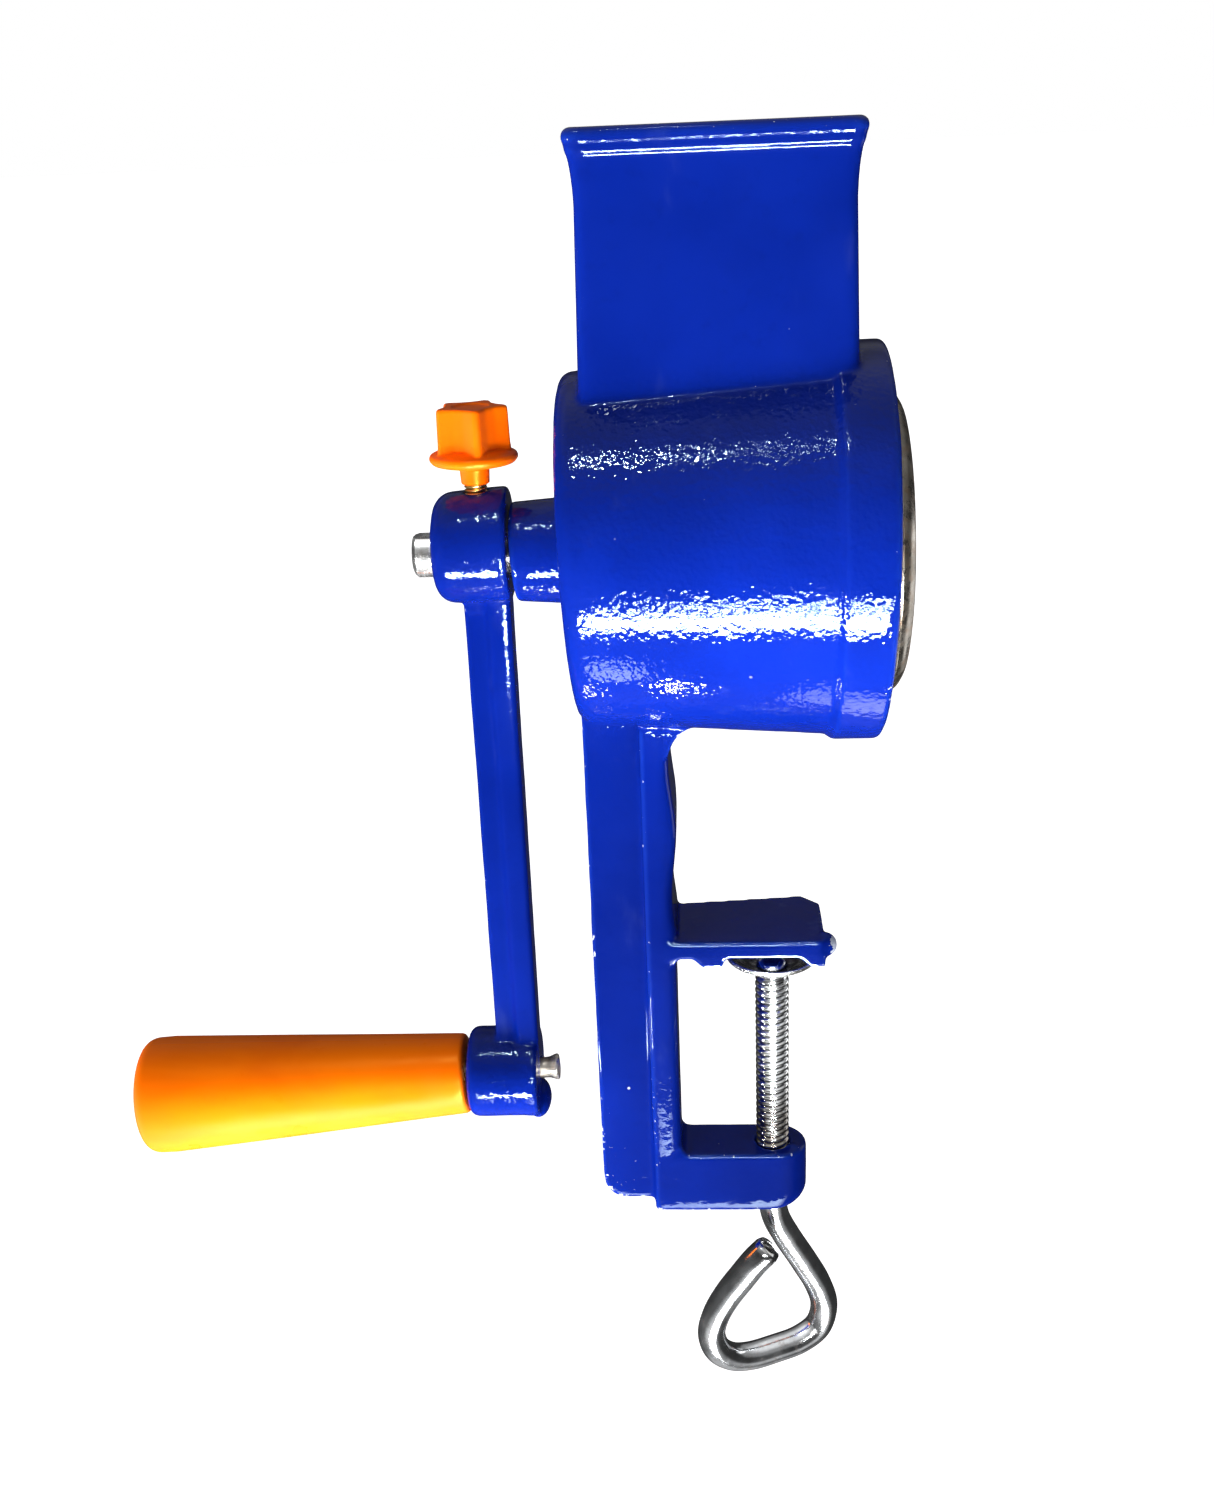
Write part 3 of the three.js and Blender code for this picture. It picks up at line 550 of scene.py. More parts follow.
HOUSING_LEAN = 0.0008
PLATE_LEFT, PLATE_RIGHT = -29.0, -22.2
PLATE_HALF = 11.8
SPINE_LEFT, SPINE_HALF = -41.5, 5.2
JAW_BOTTOM, JAW_TOP, JAW_RIGHT = 2.2, 6.5, 11.6
ARM_BOTTOM, ARM_TOP, ARM_HALF = -70.0, -54.0, 6.9
HOPPER_LEFT, HOPPER_RIGHT, HOPPER_HALF, HOPPER_TOP = -37.6, 16.1, 16.6, 179.3
BORE_R = 33.4
SHAFT_HOLE_R = 5.35
# The strongest spot below leaves most of the stub on the jaw's end in the pale bare colour.
BODY_WEAR = [
    (0.7, (-39, -5, -50), 17), (0.9, (-38, -5, -66), 7), (0.8, (-41.5, -5.2, 4), 5),
    (7, (13.8, -8.6, 4.1), 1.9), (0.55, (-38, -17, 152), 9), (0.4, (-20, -41, 80), 9),
    (0.5, (20, -39, 70), 7),
]
CRANK_WEAR = [(0.6, (-57, 0, -44), 6), (0.5, (-66, -3, 84), 6), (0.4, (-71, 0, 92), 7)]


def housing_outside():
    """Bearing boss, end wall, slightly conical housing and stepped flange, turned in one."""
    profile = [
        (-54.5, 0),
        *rounded([(-54.5, 9.0), (-54.5, 10.6), (-43.5, 11.3)], 0.8),
        *arc(-44.5, 13.5, 2.2, -80, 0, 5),
        *arc(-39.1, 34.0, 3.2, 180, 90, 10),
        *[(9.6, 40.3), (10.8, 40.35), (11.3, 40.55), (12.3, 41.4), (13.0, 41.55)],
        *arc(21.4, 40.4, 1.2, 90, 0, 5),
        (22.7, 0),
    ]
    obj = lathe_x("casting", profile, 288 if FINE else 120)
    for vertex in obj.data.vertices:
        vertex.co.x *= 1 + HOUSING_LEAN * (vertex.co.z / MM - AXIS_Z)
    return obj


def hopper_outline(grow, corner):
    """Outline of the hopper in X and Y, grown by so much on every side."""
    across, along = (HOPPER_LEFT - grow, HOPPER_RIGHT + grow), (-HOPPER_HALF - grow, HOPPER_HALF + grow)
    return rectangle(*across, *along, corner)


def hopper_outside():
    """Hopper tube with a flared lip that ends in a narrow band."""
    depths = [(69.1, 1.2), (14, 0), (11, 0.1), (8.5, 0.3), (6.4, 0.58), (5.1, 0.85), (4.6, 1.05)]
    depths += [(4.1, 1.24), (3.6, 1.3), (3.1, 1.36), (2.7, 1.52), (2.2, 1.7), (1.6, 1.78), (0.9, 1.6)]
    depths += [(0.4, 1.2), (0, 0.5)]
    return stack("hopper", [(HOPPER_TOP - depth, hopper_outline(grow, 2.8)) for depth, grow in depths])


def hopper_inside():
    """Throat of the hopper, from above its rim down into the bore."""
    levels = [(AXIS_Z + 16, -3), (165.3, -3), (171, -2.6), (176, -2), (178.2, -1.3), (180.5, 0.1)]
    return stack("throat", [(z, hopper_outline(grow, 2.0)) for z, grow in levels])


def leg_plate():
    """Wide plate of the leg, narrowing from the jaw down to the lower arm."""
    levels = []
    for z, half in [(ARM_BOTTOM, ARM_HALF), (ARM_TOP, ARM_HALF), (0, PLATE_HALF), (66, PLATE_HALF)]:
        corners = [(PLATE_RIGHT, half), (PLATE_LEFT, half), (PLATE_LEFT, -half), (PLATE_RIGHT, -half)]
        levels.append((z, rounded(corners, [1.2, 1.2, 1.2, 3.2], 6, closed=True)))
    return stack("plate", levels)


def leg_spine():
    """Rib along the leg's outer side with its round lower corner."""
    corner = (SPINE_LEFT, -67.2)
    outline = rounded([(SPINE_LEFT, 66), corner, (PLATE_LEFT + 1, -67.2)], 9.0, 12)
    return slab("spine", [*outline, (PLATE_LEFT + 1, 66)], -SPINE_HALF, SPINE_HALF)


def jaw_solids():
    """Upper jaw with its cut-off far corner, and the two seat ribs under it."""
    half = PLATE_HALF
    plan = [(PLATE_LEFT + 1, -half), (JAW_RIGHT - 1.2, -half), (JAW_RIGHT, -half + 1.2)]
    plan += [(JAW_RIGHT, half - 4), (JAW_RIGHT - 4, half)]
    plan += [(PLATE_RIGHT, half - 3), (PLATE_LEFT + 1, half - 3)]
    left = [(-18.4, 3.4), (-18.4, 2.2), (-16.2, 0), (-11.6, 0), (-11.2, 2.2), (-11.2, 3.4)]
    right = [(5.8, 3.4), (5.8, 2.2), (8.0, 0), (JAW_RIGHT, 0), (JAW_RIGHT, 3.4)]
    ribs = [
        slab("left_rib", left, -half + 0.2, half - 3.0),
        slab("right_rib", right, -half + 0.2, half - 4.2),
    ]
    return [stack("jaw", [(JAW_BOTTOM, plan), (JAW_TOP, plan)]), *ribs]


def lower_arm():
    """Lower arm with its round end and worn lower edge."""
    plan = [(PLATE_LEFT + 1, -ARM_HALF), *arc(1.3, 0, ARM_HALF, -90, 90, 28), (PLATE_LEFT + 1, ARM_HALF)]
    levels = []
    for z, inset in [(-70, 3.4), (-69.5, 2.0), (-68.4, 0.9), (-66.6, 0.1), (-65, 0), (-54.6, 0), (-54, 0.7)]:
        draft = [inset * max(0.0, (x - PLATE_RIGHT) / 30) for x, _ in plan]
        levels.append((z, [(x - d, y * (1 - 0.012 * inset)) for (x, y), d in zip(plan, draft)]))
    return stack("arm", levels)


def ball(name, centre, radii):
    """Ellipsoid for a small cast lump."""
    obj = lathe_z(name, [(sin(tilt), cos(tilt)) for tilt in np.linspace(0, pi, 21)], 32)
    obj.data.transform(Matrix.Translation(Vector(centre) * MM) @ Matrix.Diagonal((*radii, 1.0)))
    return obj


def fillet(name, x, z, r, side, low, high):
    """Metal left in a corner open to the right, and up or down as side is 1 or -1."""
    curve = arc(x + r, z + side * r, r, 270 if side > 0 else 90, 180, 8)
    root = (x - 1, z - side)
    outline = [root, (curve[0][0], root[1]), *curve, (root[0], curve[-1][1])]
    return slab(name, outline, low, high)


def relax(obj, passes, weights):
    """Smooths a mesh by one weight, or one for each point; 1 smooths most."""
    co = points_of(obj)
    for _ in range(passes):
        co += (neighbours_mean(obj.data, co, 1) - co) * np.reshape(weights, (-1, 1))
    set_points(obj, co)


def near(points, centre, reach):
    """1 at a point in millimetres, falling off with distance to 0."""
    away = norm(points / MM - np.array(centre, float), axis=1)
    return np.exp(-((away / reach) ** 2))


def worn(points, spots):
    """Wear from spots given as (strength, place, reach)."""
    return sum(strength * near(points, place, reach) for strength, place, reach in spots)


def step(values, low, high):
    t = np.clip((values - low) / (high - low), 0, 1)
    return t * t * (3 - 2 * t)


def body_casting():
    """The whole blue body as one cast skin, with its bore, throat and screw hole."""
    obj = housing_outside()
    under = AXIS_Z - 36.6
    adds = [
        hopper_outside(),
        leg_plate(),
        leg_spine(),
        *jaw_solids(),
        lower_arm(),
        ball("stub", (11.4, -8.4, 4.1), (3.0, 2.8, 2.9)),
        ball("bead", (16.0, -19.5, 129.5), (1.6, 1.6, 1.0)),
        ball("burr", (4.6, -3.2, ARM_TOP), (1.6, 1.3, 0.5)),
        fillet("top_fillet", PLATE_RIGHT, under, 7.0, -1, -PLATE_HALF + 0.3, PLATE_HALF - 0.3),
        fillet("jaw_fillet", PLATE_RIGHT, JAW_BOTTOM, 1.2, -1, -PLATE_HALF + 0.3, PLATE_HALF - 3.2),
        fillet("arm_fillet", PLATE_RIGHT, ARM_TOP, 2.4, 1, -ARM_HALF + 0.2, ARM_HALF - 0.2),
    ]
    combine(obj, adds, "UNION")
    cuts = [
        lathe_x("bore", [(-38.4, 0), (-38.4, BORE_R), (26, BORE_R), (26, 0)], 256),
        hopper_inside(),
        lathe_x("journal", [(-60, 0), (-60, SHAFT_HOLE_R), (-36, SHAFT_HOLE_R), (-36, 0)], 96),
        lathe_z("tapped_hole", [(0, -75), (4.05, -75), (4.05, -50), (0, -50)]),
    ]
    combine(obj, cuts, "DIFFERENCE")
    cast_skin(obj, 0.5)
    co = points_of(obj)
    x, y, z = (co / MM).T
    radius = np.hypot(y, z - AXIS_Z)
    hopper = step(z, 132, 138)
    clamp = step(z, 60, 50)
    relax(obj, 7 if FINE else 3, 0.22 + 0.16 * clamp - 0.08 * hopper)
    co = points_of(obj)
    inside = step(radius, BORE_R + 1.2, BORE_R + 0.2) * step(x, -41, -39) * step(z, 132, 128)
    journal = step(radius, 7.4, 6.4) * step(z, 84, 88)
    screw = step(np.hypot(x, y), 5.8, 5.0) * step(z, -50, -53)
    outside = (1 - inside) * (1 - journal) * (1 - screw)
    housing = step(radius, 45, 42) * step(z, 138, 132) * step(z, 53, 57) * outside
    spine = step(z, 55, 45) * step(x, -27, -30)
    lumps = value_noise(co, 6.5, 1) * (0.04 + 0.02 * housing + 0.02 * clamp)
    pebbles = value_noise(co, 2.2, 2) * (0.008 + 0.022 * housing + 0.012 * clamp)
    ripples = value_noise(co * np.array([0.16, 0.16, 1.0]), 1.9, 3) * 0.016 * spine
    waves = value_noise(co, 24, 4) * 0.10
    uneven = (lumps + pebbles + ripples) * (1 - 0.75 * hopper) + waves * (0.35 + 0.65 * clamp)
    push(obj, uneven * outside)
    inner_edge = step(x, -25.5, -22.5) * step(x, -17, -21) * step(z, 2, 9) * step(z, 58, 50)
    co = points_of(obj)
    co[:, 0] += (0.15 + 0.6 * np.cos((z - 33) * pi / 16)) * inner_edge * MM
    set_points(obj, co)
    store(obj, "coat", (0.18 + 0.82 * housing + 0.12 * clamp) * (0.25 + 0.75 * outside) * (1 - 0.5 * hopper))
    wear = worn(co, BODY_WEAR) + 0.5 * step(z, -67.5, -69.5) + 0.12 * step(z, 177.5, 178.8)
    store(obj, "wear", wear)
    dress(obj, ENAMEL, "frame", "blue_enamel", "body_casting", passes=8)


# -- crank


def hub(name, left, right, r, height, edge_left, edge_right):
    """Cylinder along X with round edges."""
    profile = [(left, 0), *arc(left + edge_left, r - edge_left, edge_left, 180, 90, 10)]
    profile += [*arc(right - edge_right, r - edge_right, edge_right, 90, 0, 6), (right, 0)]
    return lathe_x(name, profile, 144, height)


def tilt_with_grip(obj):
    """Moves a piece built along X onto the grip's leaning axis."""
    turn = Matrix.Rotation(-radians(GRIP_TILT), 4, "Y")
    obj.data.transform(Matrix.Translation(Vector(GRIP_CENTRE) * MM) @ turn)
    return obj


def crank_arm():
    """Cast crank: split-level arm between a thick upper hub and a lower hub with its eye."""
    obj = hub("crank_casting", -71.2, -55.2, 12.3, AXIS_Z + 1.8, 4, 1)
    for vertex in obj.data.vertices:
        if vertex.co.z > (AXIS_Z + 4) * MM:
            vertex.co.z -= 0.075 * max(0.0, -55.2 * MM - vertex.co.x) * (vertex.co.z / MM - AXIS_Z - 4) / 10
    adds = [
        hub("lower_hub", -73, -56.2, 10.8, LOWER_Z, 2.4, 1),
        hub("eye", -60, -56, 10.9, LOWER_Z, 1, 1),
        ball("lump", (-56.7, 0, -41.4), (3, 6, 4.2)),
        stack("web", [(z, rectangle(-61, -55.7, -4.4, 4.4, 1.4)) for z in (LOWER_Z, AXIS_Z)]),
        stack("rib", [(z, rectangle(-65.9, -60, -3, 3, 0.9)) for z in (LOWER_Z, AXIS_Z)]),
        slab("upper_root", [(-66.6, 92), (-65.7, 83), (-60, 83), (-60, 92)], -3.4, 3.4),
        slab("lower_root", [(-60, -22.5), (-65.8, -22.5), (-67.0, -27), (-60, -27)], -3.4, 3.4),
    ]
    combine(obj, adds, "UNION")
    pin = lathe_x("pin_hole", [(-60, 0), (-60, 2.8), (60, 2.8), (60, 0)], 48, 0.0)
    cuts = [
        lathe_x("shaft_hole", [(-75, 0), (-75, SHAFT_HOLE_R), (-50, SHAFT_HOLE_R), (-50, 0)], 96),
        lathe_z("stud_hole", [(0, AXIS_Z), (2.6, AXIS_Z), (2.6, 115), (0, 115)], 64, STUD_X),
        tilt_with_grip(pin),
    ]
    combine(obj, cuts, "DIFFERENCE")
    cast_skin(obj, 0.36)
    relax(obj, 8 if FINE else 4, 0.4)
    co = points_of(obj)
    x, y, z = (co / MM).T
    shaft = step(np.hypot(y, z - AXIS_Z), 7.0, 6.0)
    stud = step(np.hypot(x - STUD_X, y), 3.8, 3.0) * step(z, 100, 104)
    pin = step(np.hypot(y, z - LOWER_Z), 4.4, 3.6)
    outside = (1 - shaft) * (1 - stud) * (1 - pin)
    hubs = np.maximum(step(z, 78, 86), step(z, -20, -26))
    lumps = value_noise(co, 5.5, 5) * 0.035 + value_noise(co, 1.7, 6) * (0.006 + 0.022 * hubs)
    waves = value_noise(co, 17, 7) * 0.10
    push(obj, (lumps + waves) * outside)
    store(obj, "coat", (0.25 + 0.75 * hubs) * (0.3 + 0.7 * outside))
    store(obj, "wear", worn(co, CRANK_WEAR) + 0.5 * step(x, -57.2, -56.0) * step(z, 60, -10))
    dress(obj, ENAMEL, "crank", "blue_enamel", "crank_arm", passes=8)


# -- thumb screw


def threaded(name, centre, low, high, core, crest, pitch, ends):
    """Threaded rod between two heights, with plain end rows of (radius, z)."""
    turn = turns(40)
    rows = []
    steps = int((high - low) / pitch * (10 if FINE else 5))
    for z in np.linspace(low, high, steps):
        run = min(1.0, (z - low) / pitch, (high - z) / pitch)
        rows.append([(core + (helix_radius(core, crest, pitch, z, a) - core) * run, a, z) for a in turn])
    first = [[(r, a, z) for a in turn] for r, z in ends[0]]
    last = [[(r, a, z) for a in turn] for r, z in ends[1]]
    grid = first + rows + last
    verts = [(centre[0] + r * cos(a), centre[1] + r * sin(a), z) for row in grid for r, a, z in row]
    return new_object(name, verts, grid_faces(len(grid), len(turn)))


STUD_CORE, STUD_CREST = 2.0, 2.45


def thumb_stud():
    """Threaded stud of the thumb screw with a blunt cone point."""
    tip = STUD[0][2]
    top = [(2.0, 113), (2.25, 113.4), (2.25, 121.6), (1.9, 122), (0, 122)]
    ends = ([(0, tip), (1.2, tip), (2.0, tip + 0.9)], top)
    low, high, centre = tip + 1, 112.8, (STUD_X, 0)
    obj = threaded("thumb_stud_thread", centre, low, high, STUD_CORE, STUD_CREST, 0.8, ends)
    dress(obj, STUD_METAL, "thumb_stud", PLATED, "thumb_screw_stud", sharp=70)
    mark_thread(obj, centre, STUD_CORE, STUD_CREST, low, high)


def thumb_knob():
    """Five-pointed star on a round flange, with a short collar round the stud."""
    flange = [(0, 110.2), *rounded([(3.0, 110.2), (3.2, 113.7), (8.6, 114.5), (9.3, 115.4)], 0.6, 4)]
    flange += [(9.35, 115.9), *rounded([(9.1, 116.5), (8.0, 117.0), (6.6, 117.6)], 0.6, 4), (0, 117.6)]
    obj = lathe_z("thumb_knob_moulding", flange, 120, STUD_X)
    outline = []
    for i in range(5):
        for turn, r in [(-4, 7.8), (4, 7.8), (24, 5.85), (48, 5.85)]:
            angle = radians(-90 + 15 + 72 * i + turn)
            outline.append((STUD_X + r * cos(angle), r * sin(angle)))
    star = rounded(outline, 0.55, 4, closed=True)
    levels = []
    for z, grow in [(116.4, 0.30), (117.8, 0.24), (119, 0.16), (125.7, 0.0), (126.2, -0.15), (126.4, -0.5)]:
        scale = 1 + grow / 7
        levels.append((z, [(STUD_X + (x - STUD_X) * scale, y * scale) for x, y in star]))
    combine(obj, [stack("star", levels)], "UNION")
    dish = lathe_z("dish", [(0, 125.9), (3.6, 125.9), (4.4, 127), (0, 127)], 64, STUD_X)
    hole = lathe_z("stud_hole", [(0, 108), (2.6, 108), (2.6, 122.2), (0, 122.2)], 48, STUD_X)
    combine(obj, [dish, hole], "DIFFERENCE")
    cast_skin(obj, 0.2)
    relax(obj, 5, 0.35)
    roughen(obj, 4.5, 8, 0.04)
    dress(obj, ORANGE_KNOB, "thumb_knob", "orange_plastic", "thumb_screw_knob", passes=8)


# -- grip and its pin


def handle_grip():
    """Tapered grip with a round outer end, a pocket for the pin's head and a mould seam."""
    left, right = -88.8, -9.1
    length, wide, narrow = right - left, 14.4, 9.5
    along = np.linspace(left + 7, right - 2, 24)
    side = [(x, wide + (narrow - wide) * ((x - left) / length) ** 1.04) for x in along]
    pocket = rounded([(left + 8, 5.4), (left + 0.1, 5.4), (left, 5.9)], 0.4, 3)
    bore = [(right, 2.8), (left + 8, 2.8), *pocket]
    profile = [*rounded([(left, 5.9), (left, 13.9), side[0]], 6.0, 12), *side[1:-1]]
    profile += [*rounded([side[-1], (right, 9.45), (right, 6.0)], 1.5, 8), *bore[:-1]]
    obj = lathe_x("grip_moulding", profile, 360 if FINE else 160, 0.0)
    co = points_of(obj)
    r = np.hypot(co[:, 1], co[:, 2])
    outside = r > 8 * MM
    turn = np.degrees(np.arctan2(co[:, 1], co[:, 2]))
    away = np.minimum(np.abs(turn), np.abs(180 - np.abs(turn)))
    seam = 0.06 * np.exp(-((away / 0.9) ** 2)) * outside
    swell = value_noise(co, 30, 9) * 0.10 * outside
    scale = 1 + (seam + swell) * MM / np.maximum(r, MM)
    co[:, 1:] *= scale[:, None]
    set_points(obj, co)
    tilt_with_grip(obj)
    dress(obj, ORANGE, "grip", "orange_plastic", "handle_grip", passes=3)


def grip_pin():
    """Pin that the grip turns on: a round head in the pocket and a flared, punched end."""
    left, right = -85.1, 13.2
    profile = [(left, 0), *rounded([(left, 3.0), (left + 0.5, 4.3), (left + 2.2, 4.3)], 0.4, 4)]
    profile += [(left + 2.2, 2.5), (right - 3.2, 2.5), (right - 2.2, 2.55), (right - 0.9, 3.0)]
    profile += [(right - 0.35, 3.15), (right, 2.9), (right - 0.1, 2.2), (right - 1.0, 1.5), (right - 1.4, 0)]
    obj = tilt_with_grip(lathe_x("grip_pin_riveted", profile, 96, 0.0))
    roughen(obj, 2.2, 10, 0.05)
    dress(obj, STEEL_PIN, "crank", STEEL, "grip_pin", sharp=40)


def grip_washer():
    left, right = -82.6, -81.1
    outline = [(left, 2.8), (left, 5.1), (right, 5.1), (right, 2.8)]
    profile = rounded(outline, 0.2, 3, closed=True)
    obj = tilt_with_grip(lathe_x("grip_pin_washer_ring", profile, 96, 0.0))
    dress(obj, ZINC_TURNED, "crank", PLATED, "grip_pin_washer", sharp=40)


# -- drum


def drum_shaft():
    """Turned shaft with a milled flat on top at its outer end."""
    left, right, r = -76.0, -24.6, 5.0
    profile = [(left, 0), (left, 3.9), (left + 0.25, 4.45), (left + 0.9, r)]
    profile += [(x, r) for x in (*np.linspace(left + 1.6, -56.05, 24), -56.0)]
    profile += [(x, r) for x in (*np.linspace(-55, right - 1, 16), right - 0.6)]
    profile += [(right, 4.3), (right, 0)]
    obj = lathe_x("drum_shaft_turned", profile, 160)
    top = (AXIS_Z + 4.0) * MM
    for vertex in obj.data.vertices:
        if vertex.co.x < -56.02 * MM:
            vertex.co.z = min(vertex.co.z, top)
    x = points_of(obj)[:, 0] / MM
    # Painted shade: the shaft goes dark in the narrow gap between the crank's hub and the boss.
    store(obj, "dark_mask", step(x, -56.3, -55.6) * step(x, -53.6, -54.2))
    dress(obj, SHAFT_METAL, "drum", PLATED, "drum_shaft", sharp=25)


def drum_sleeve():
    """Sheet-steel drum punched all over with small holes, each with a raised torn rim."""
    low, high = SLEEVE[0][0], SLEEVE[1][0]
    outer, sheet = 31.0, 1.2
    columns, rows, parts = 30, 8, 4
    first, last = -32.0, 17.2
    pitch = (last - first) / rows
    around = columns * parts
    # share of the way out from a hole's centre, and height: from the sheet over the torn rim to inside
    rings = [(1.0, 0.0), (0.72, 0.02), (0.56, 0.16), (0.44, 0.42), (0.36, 0.82)]
    rings += [(0.31, 0.62), (0.36, 0.1), (0.46, -0.55), (0.66, -1.12), (1.0, -sheet)]
    torn_rings = range(3, 7)
    verts, faces = [], []

    def point(turn, x, height):
        a = 2 * pi * turn / around
        r = outer + height
        verts.append((x, r * sin(a), AXIS_Z + r * cos(a)))
        return len(verts) - 1

    def join(loops):
        for a, b in zip(loops, loops[1:]):
            for i in range(len(a)):
                j = (i + 1) % len(a)
                faces.append((a[i], a[j], b[j], b[i]))

    square = [(i, -2) for i in range(-2, 2)] + [(2, i) for i in range(-2, 2)]
    square += [(-i, 2) for i in range(-2, 2)] + [(-2, -i) for i in range(-2, 2)]
    half_x, half_turn = pitch / 2, parts / 2
    across = 2 * pi * outer / around * half_turn
    for row in range(rows):
        centre_x = first + (row + 0.5) * pitch
        for column in range(columns):
            centre_turn = (column + 0.5 * (row % 2)) * parts
            loops = []
            for k, (share, height) in enumerate(rings):
                if share == 1.0:
                    edge = [(centre_turn + u, centre_x + v / 2 * half_x) for u, v in square]
                    loops.append([point(turn, x, height) for turn, x in edge])
                    continue
                loop = []
                r = share * min(across, half_x)
                for u, v in square:
                    angle = atan2(v, u)
                    torn = 0.16 * sin(5 * angle + 2.1 * column + 1.3 * row) if k in torn_rings else 0.0
                    turn = centre_turn + r * cos(angle) / across * half_turn
                    x = centre_x + r * sin(angle) * (1 + torn)
                    loop.append(point(turn, x, height + torn * 0.9))
                loops.append(loop)
            join(loops)

    left = [(first, 0), (first - 1.5, 0), (low + 0.6, 0), (low + 0.15, -0.15), (low, -0.4), (low, -0.8)]
    left += [(low + 0.2, -sheet), (first - 1.5, -sheet), (first, -sheet)]
    right = [(last, 0), (last + 3, 0), (high - 0.4, 0), (high - 0.1, -0.15), (high, -0.4), (high, -0.8)]
    right += [(high - 0.2, -sheet), (last + 3, -sheet), (last, -sheet)]
    for stops in (left, right):
        join([[point(t, x, height) for t in range(around)] for x, height in stops])
    obj = new_object("drum_grating_sleeve", verts, faces)
    dress(obj, STEEL_ROLLED, "drum", STEEL, "drum_sleeve", sharp=55)


def drum_ring():
    """Rolled ring of L section round the drum's open end."""
    left, right = RING[0][0], RING[1][0]
    outline = [(left, 31.3), (left, 32.5), (right - 3.6, 32.5), (right - 3.2, 31.7), (right - 2.9, 32.0)]
    outline += [(right - 1.4, 31.0), (right, 28.6), (right, 26.8)]
    outline += [(25.4, 27.0), (24.6, 29.6), (21.2, 29.8), (21.2, 31.3)]
    profile = rounded(outline, [0.3, 0.5, 0.3, 0.2, 0.3, 1.2, 0.9, 0.5, 0.8, 1.2, 0.3, 0.3], 6, closed=True)
    obj = lathe_x("drum_end_ring_rolled", profile, 240)
    roughen(obj, 14, 11, 0.05)
    dress(obj, STEEL_ROLLED, "drum", STEEL, "drum_end_ring", sharp=50)


def back_plate():
    """Pressed disc with a turned-in rim and two shallow stiffening beads."""
    left, right = DISC[0][0], DISC[0][0] + 1.2
    rim = 29.5
    front = [(left, 5.3), (left, 17), (left - 0.1, 18), (left - 0.1, 21), (left, 22)]
    front += rounded([(left, 24), (left, rim), (left + 5.5, rim)], 1.6, 6)[1:]
    back = rounded([(left + 5.5, rim - 1.2), (right, rim - 1.2), (right, 22)], 1.2, 6)
    back += [(right - 0.1, 21), (right - 0.1, 18), (right, 17), (right, 5.3)]
    obj = lathe_x("drum_back_plate_pressed", front + back, 192)
    dress(obj, STEEL_ROLLED, "drum", STEEL, "drum_back_plate", sharp=45)


def drum_hub():
    left, right = HUB[0][0], HUB[1][0]
    outline = [(left, 5.3), (left, 15.5), (left + 2, 15.5), (left + 2, 8), (right, 8), (right, 5.3)]
    profile = rounded(outline, [0.2, 0.35, 0.35, 0.8, 0.6, 0.3], 5, closed=True)
    obj = lathe_x("drum_hub_turned", profile, 160)
    dress(obj, STEEL_TURNED, "drum", STEEL, "drum_hub", sharp=45)


def hub_pin():
    """Pin across the drum's hub with rounded ends."""
    end = 8.5
    profile = [(0, -end), *rounded([(1.1, -end), (1.5, -end + 0.5), (1.5, 0)], 0.3, 3)]
    profile += [*rounded([(1.5, 0), (1.5, end - 0.5), (1.1, end)], 0.3, 3)[1:], (0, end)]
    obj = lathe_z("drum_hub_cross_pin", profile, 48)
    turn = Matrix.Translation(Vector((-29.2, 0, AXIS_Z)) * MM) @ Matrix.Rotation(pi / 2, 4, "X")
    obj.data.transform(turn)
    dress(obj, ZINC_TURNED, "drum", PLATED, "drum_hub_pin", sharp=45)


def drum_rivets():
    """Three rivets that hold the back plate to the hub's flange."""
    circle, back, front = 12.2, DISC[0][0] - 0.3, HUB[0][0] + 2.3
    profile = [(back - 1, 0), (back - 0.93, 0.8), (back - 0.65, 1.7), (back, 2.6), (back, 1.5)]
    profile += [(front, 1.5), (front, 2.6), (front + 0.65, 1.7), (front + 0.93, 0.8), (front + 1, 0)]
    for i in range(3):
        angle = radians(90 + 120 * i)
        y, z = circle * cos(angle), AXIS_Z + circle * sin(angle)
        obj = lathe_x(f"drum_rivet_{i + 1}_set", profile, 48, z, centre_y=y)
        roughen(obj, 1.4, 20 + i, 0.05)
        dress(obj, STEEL_TURNED, "drum", STEEL, f"drum_rivet_{i + 1}", sharp=50)


def thrust_washer():
    left, right = WASHER[0][0], WASHER[1][0]
    outline = [(left, 5.3), (left, 8.8), (right, 8.8), (right, 5.3)]
    obj = lathe_x("thrust_washer_ring", rounded(outline, 0.25, 4, closed=True), 120)
    dress(obj, ZINC_TURNED, "drum", PLATED, "thrust_washer", sharp=45)


# -- clamp screw and pad

LOOP = [
    (0, 0, -68.5), (0, 0, -72.5), (0.8, 0, -77), (3.6, 0, -83.4), (8.6, 0, -93), (12.4, 0, -101),
    (14.3, 0, -108.6), (12.6, 0, -114.7), (7.6, 0, -117.6), (0, -0.1, -118.4), (-6.5, -0.3, -118.3),
    (-11.6, -0.6, -116.7), (-15.7, -0.8, -112.9), (-17.5, -1.1, -107), (-16.5, -1.8, -101.1),
    (-13.9, -3, -95), (-10.6, -4.6, -89.1), (-7.3, -6.2, -83.5), (-4.3, -7.4, -79.8),
]
LOOP_TURN = radians(21)
BAR_R, THREAD_CORE, THREAD_CREST, THREAD_PITCH = 3.5, 3.4, 3.98, 1.75


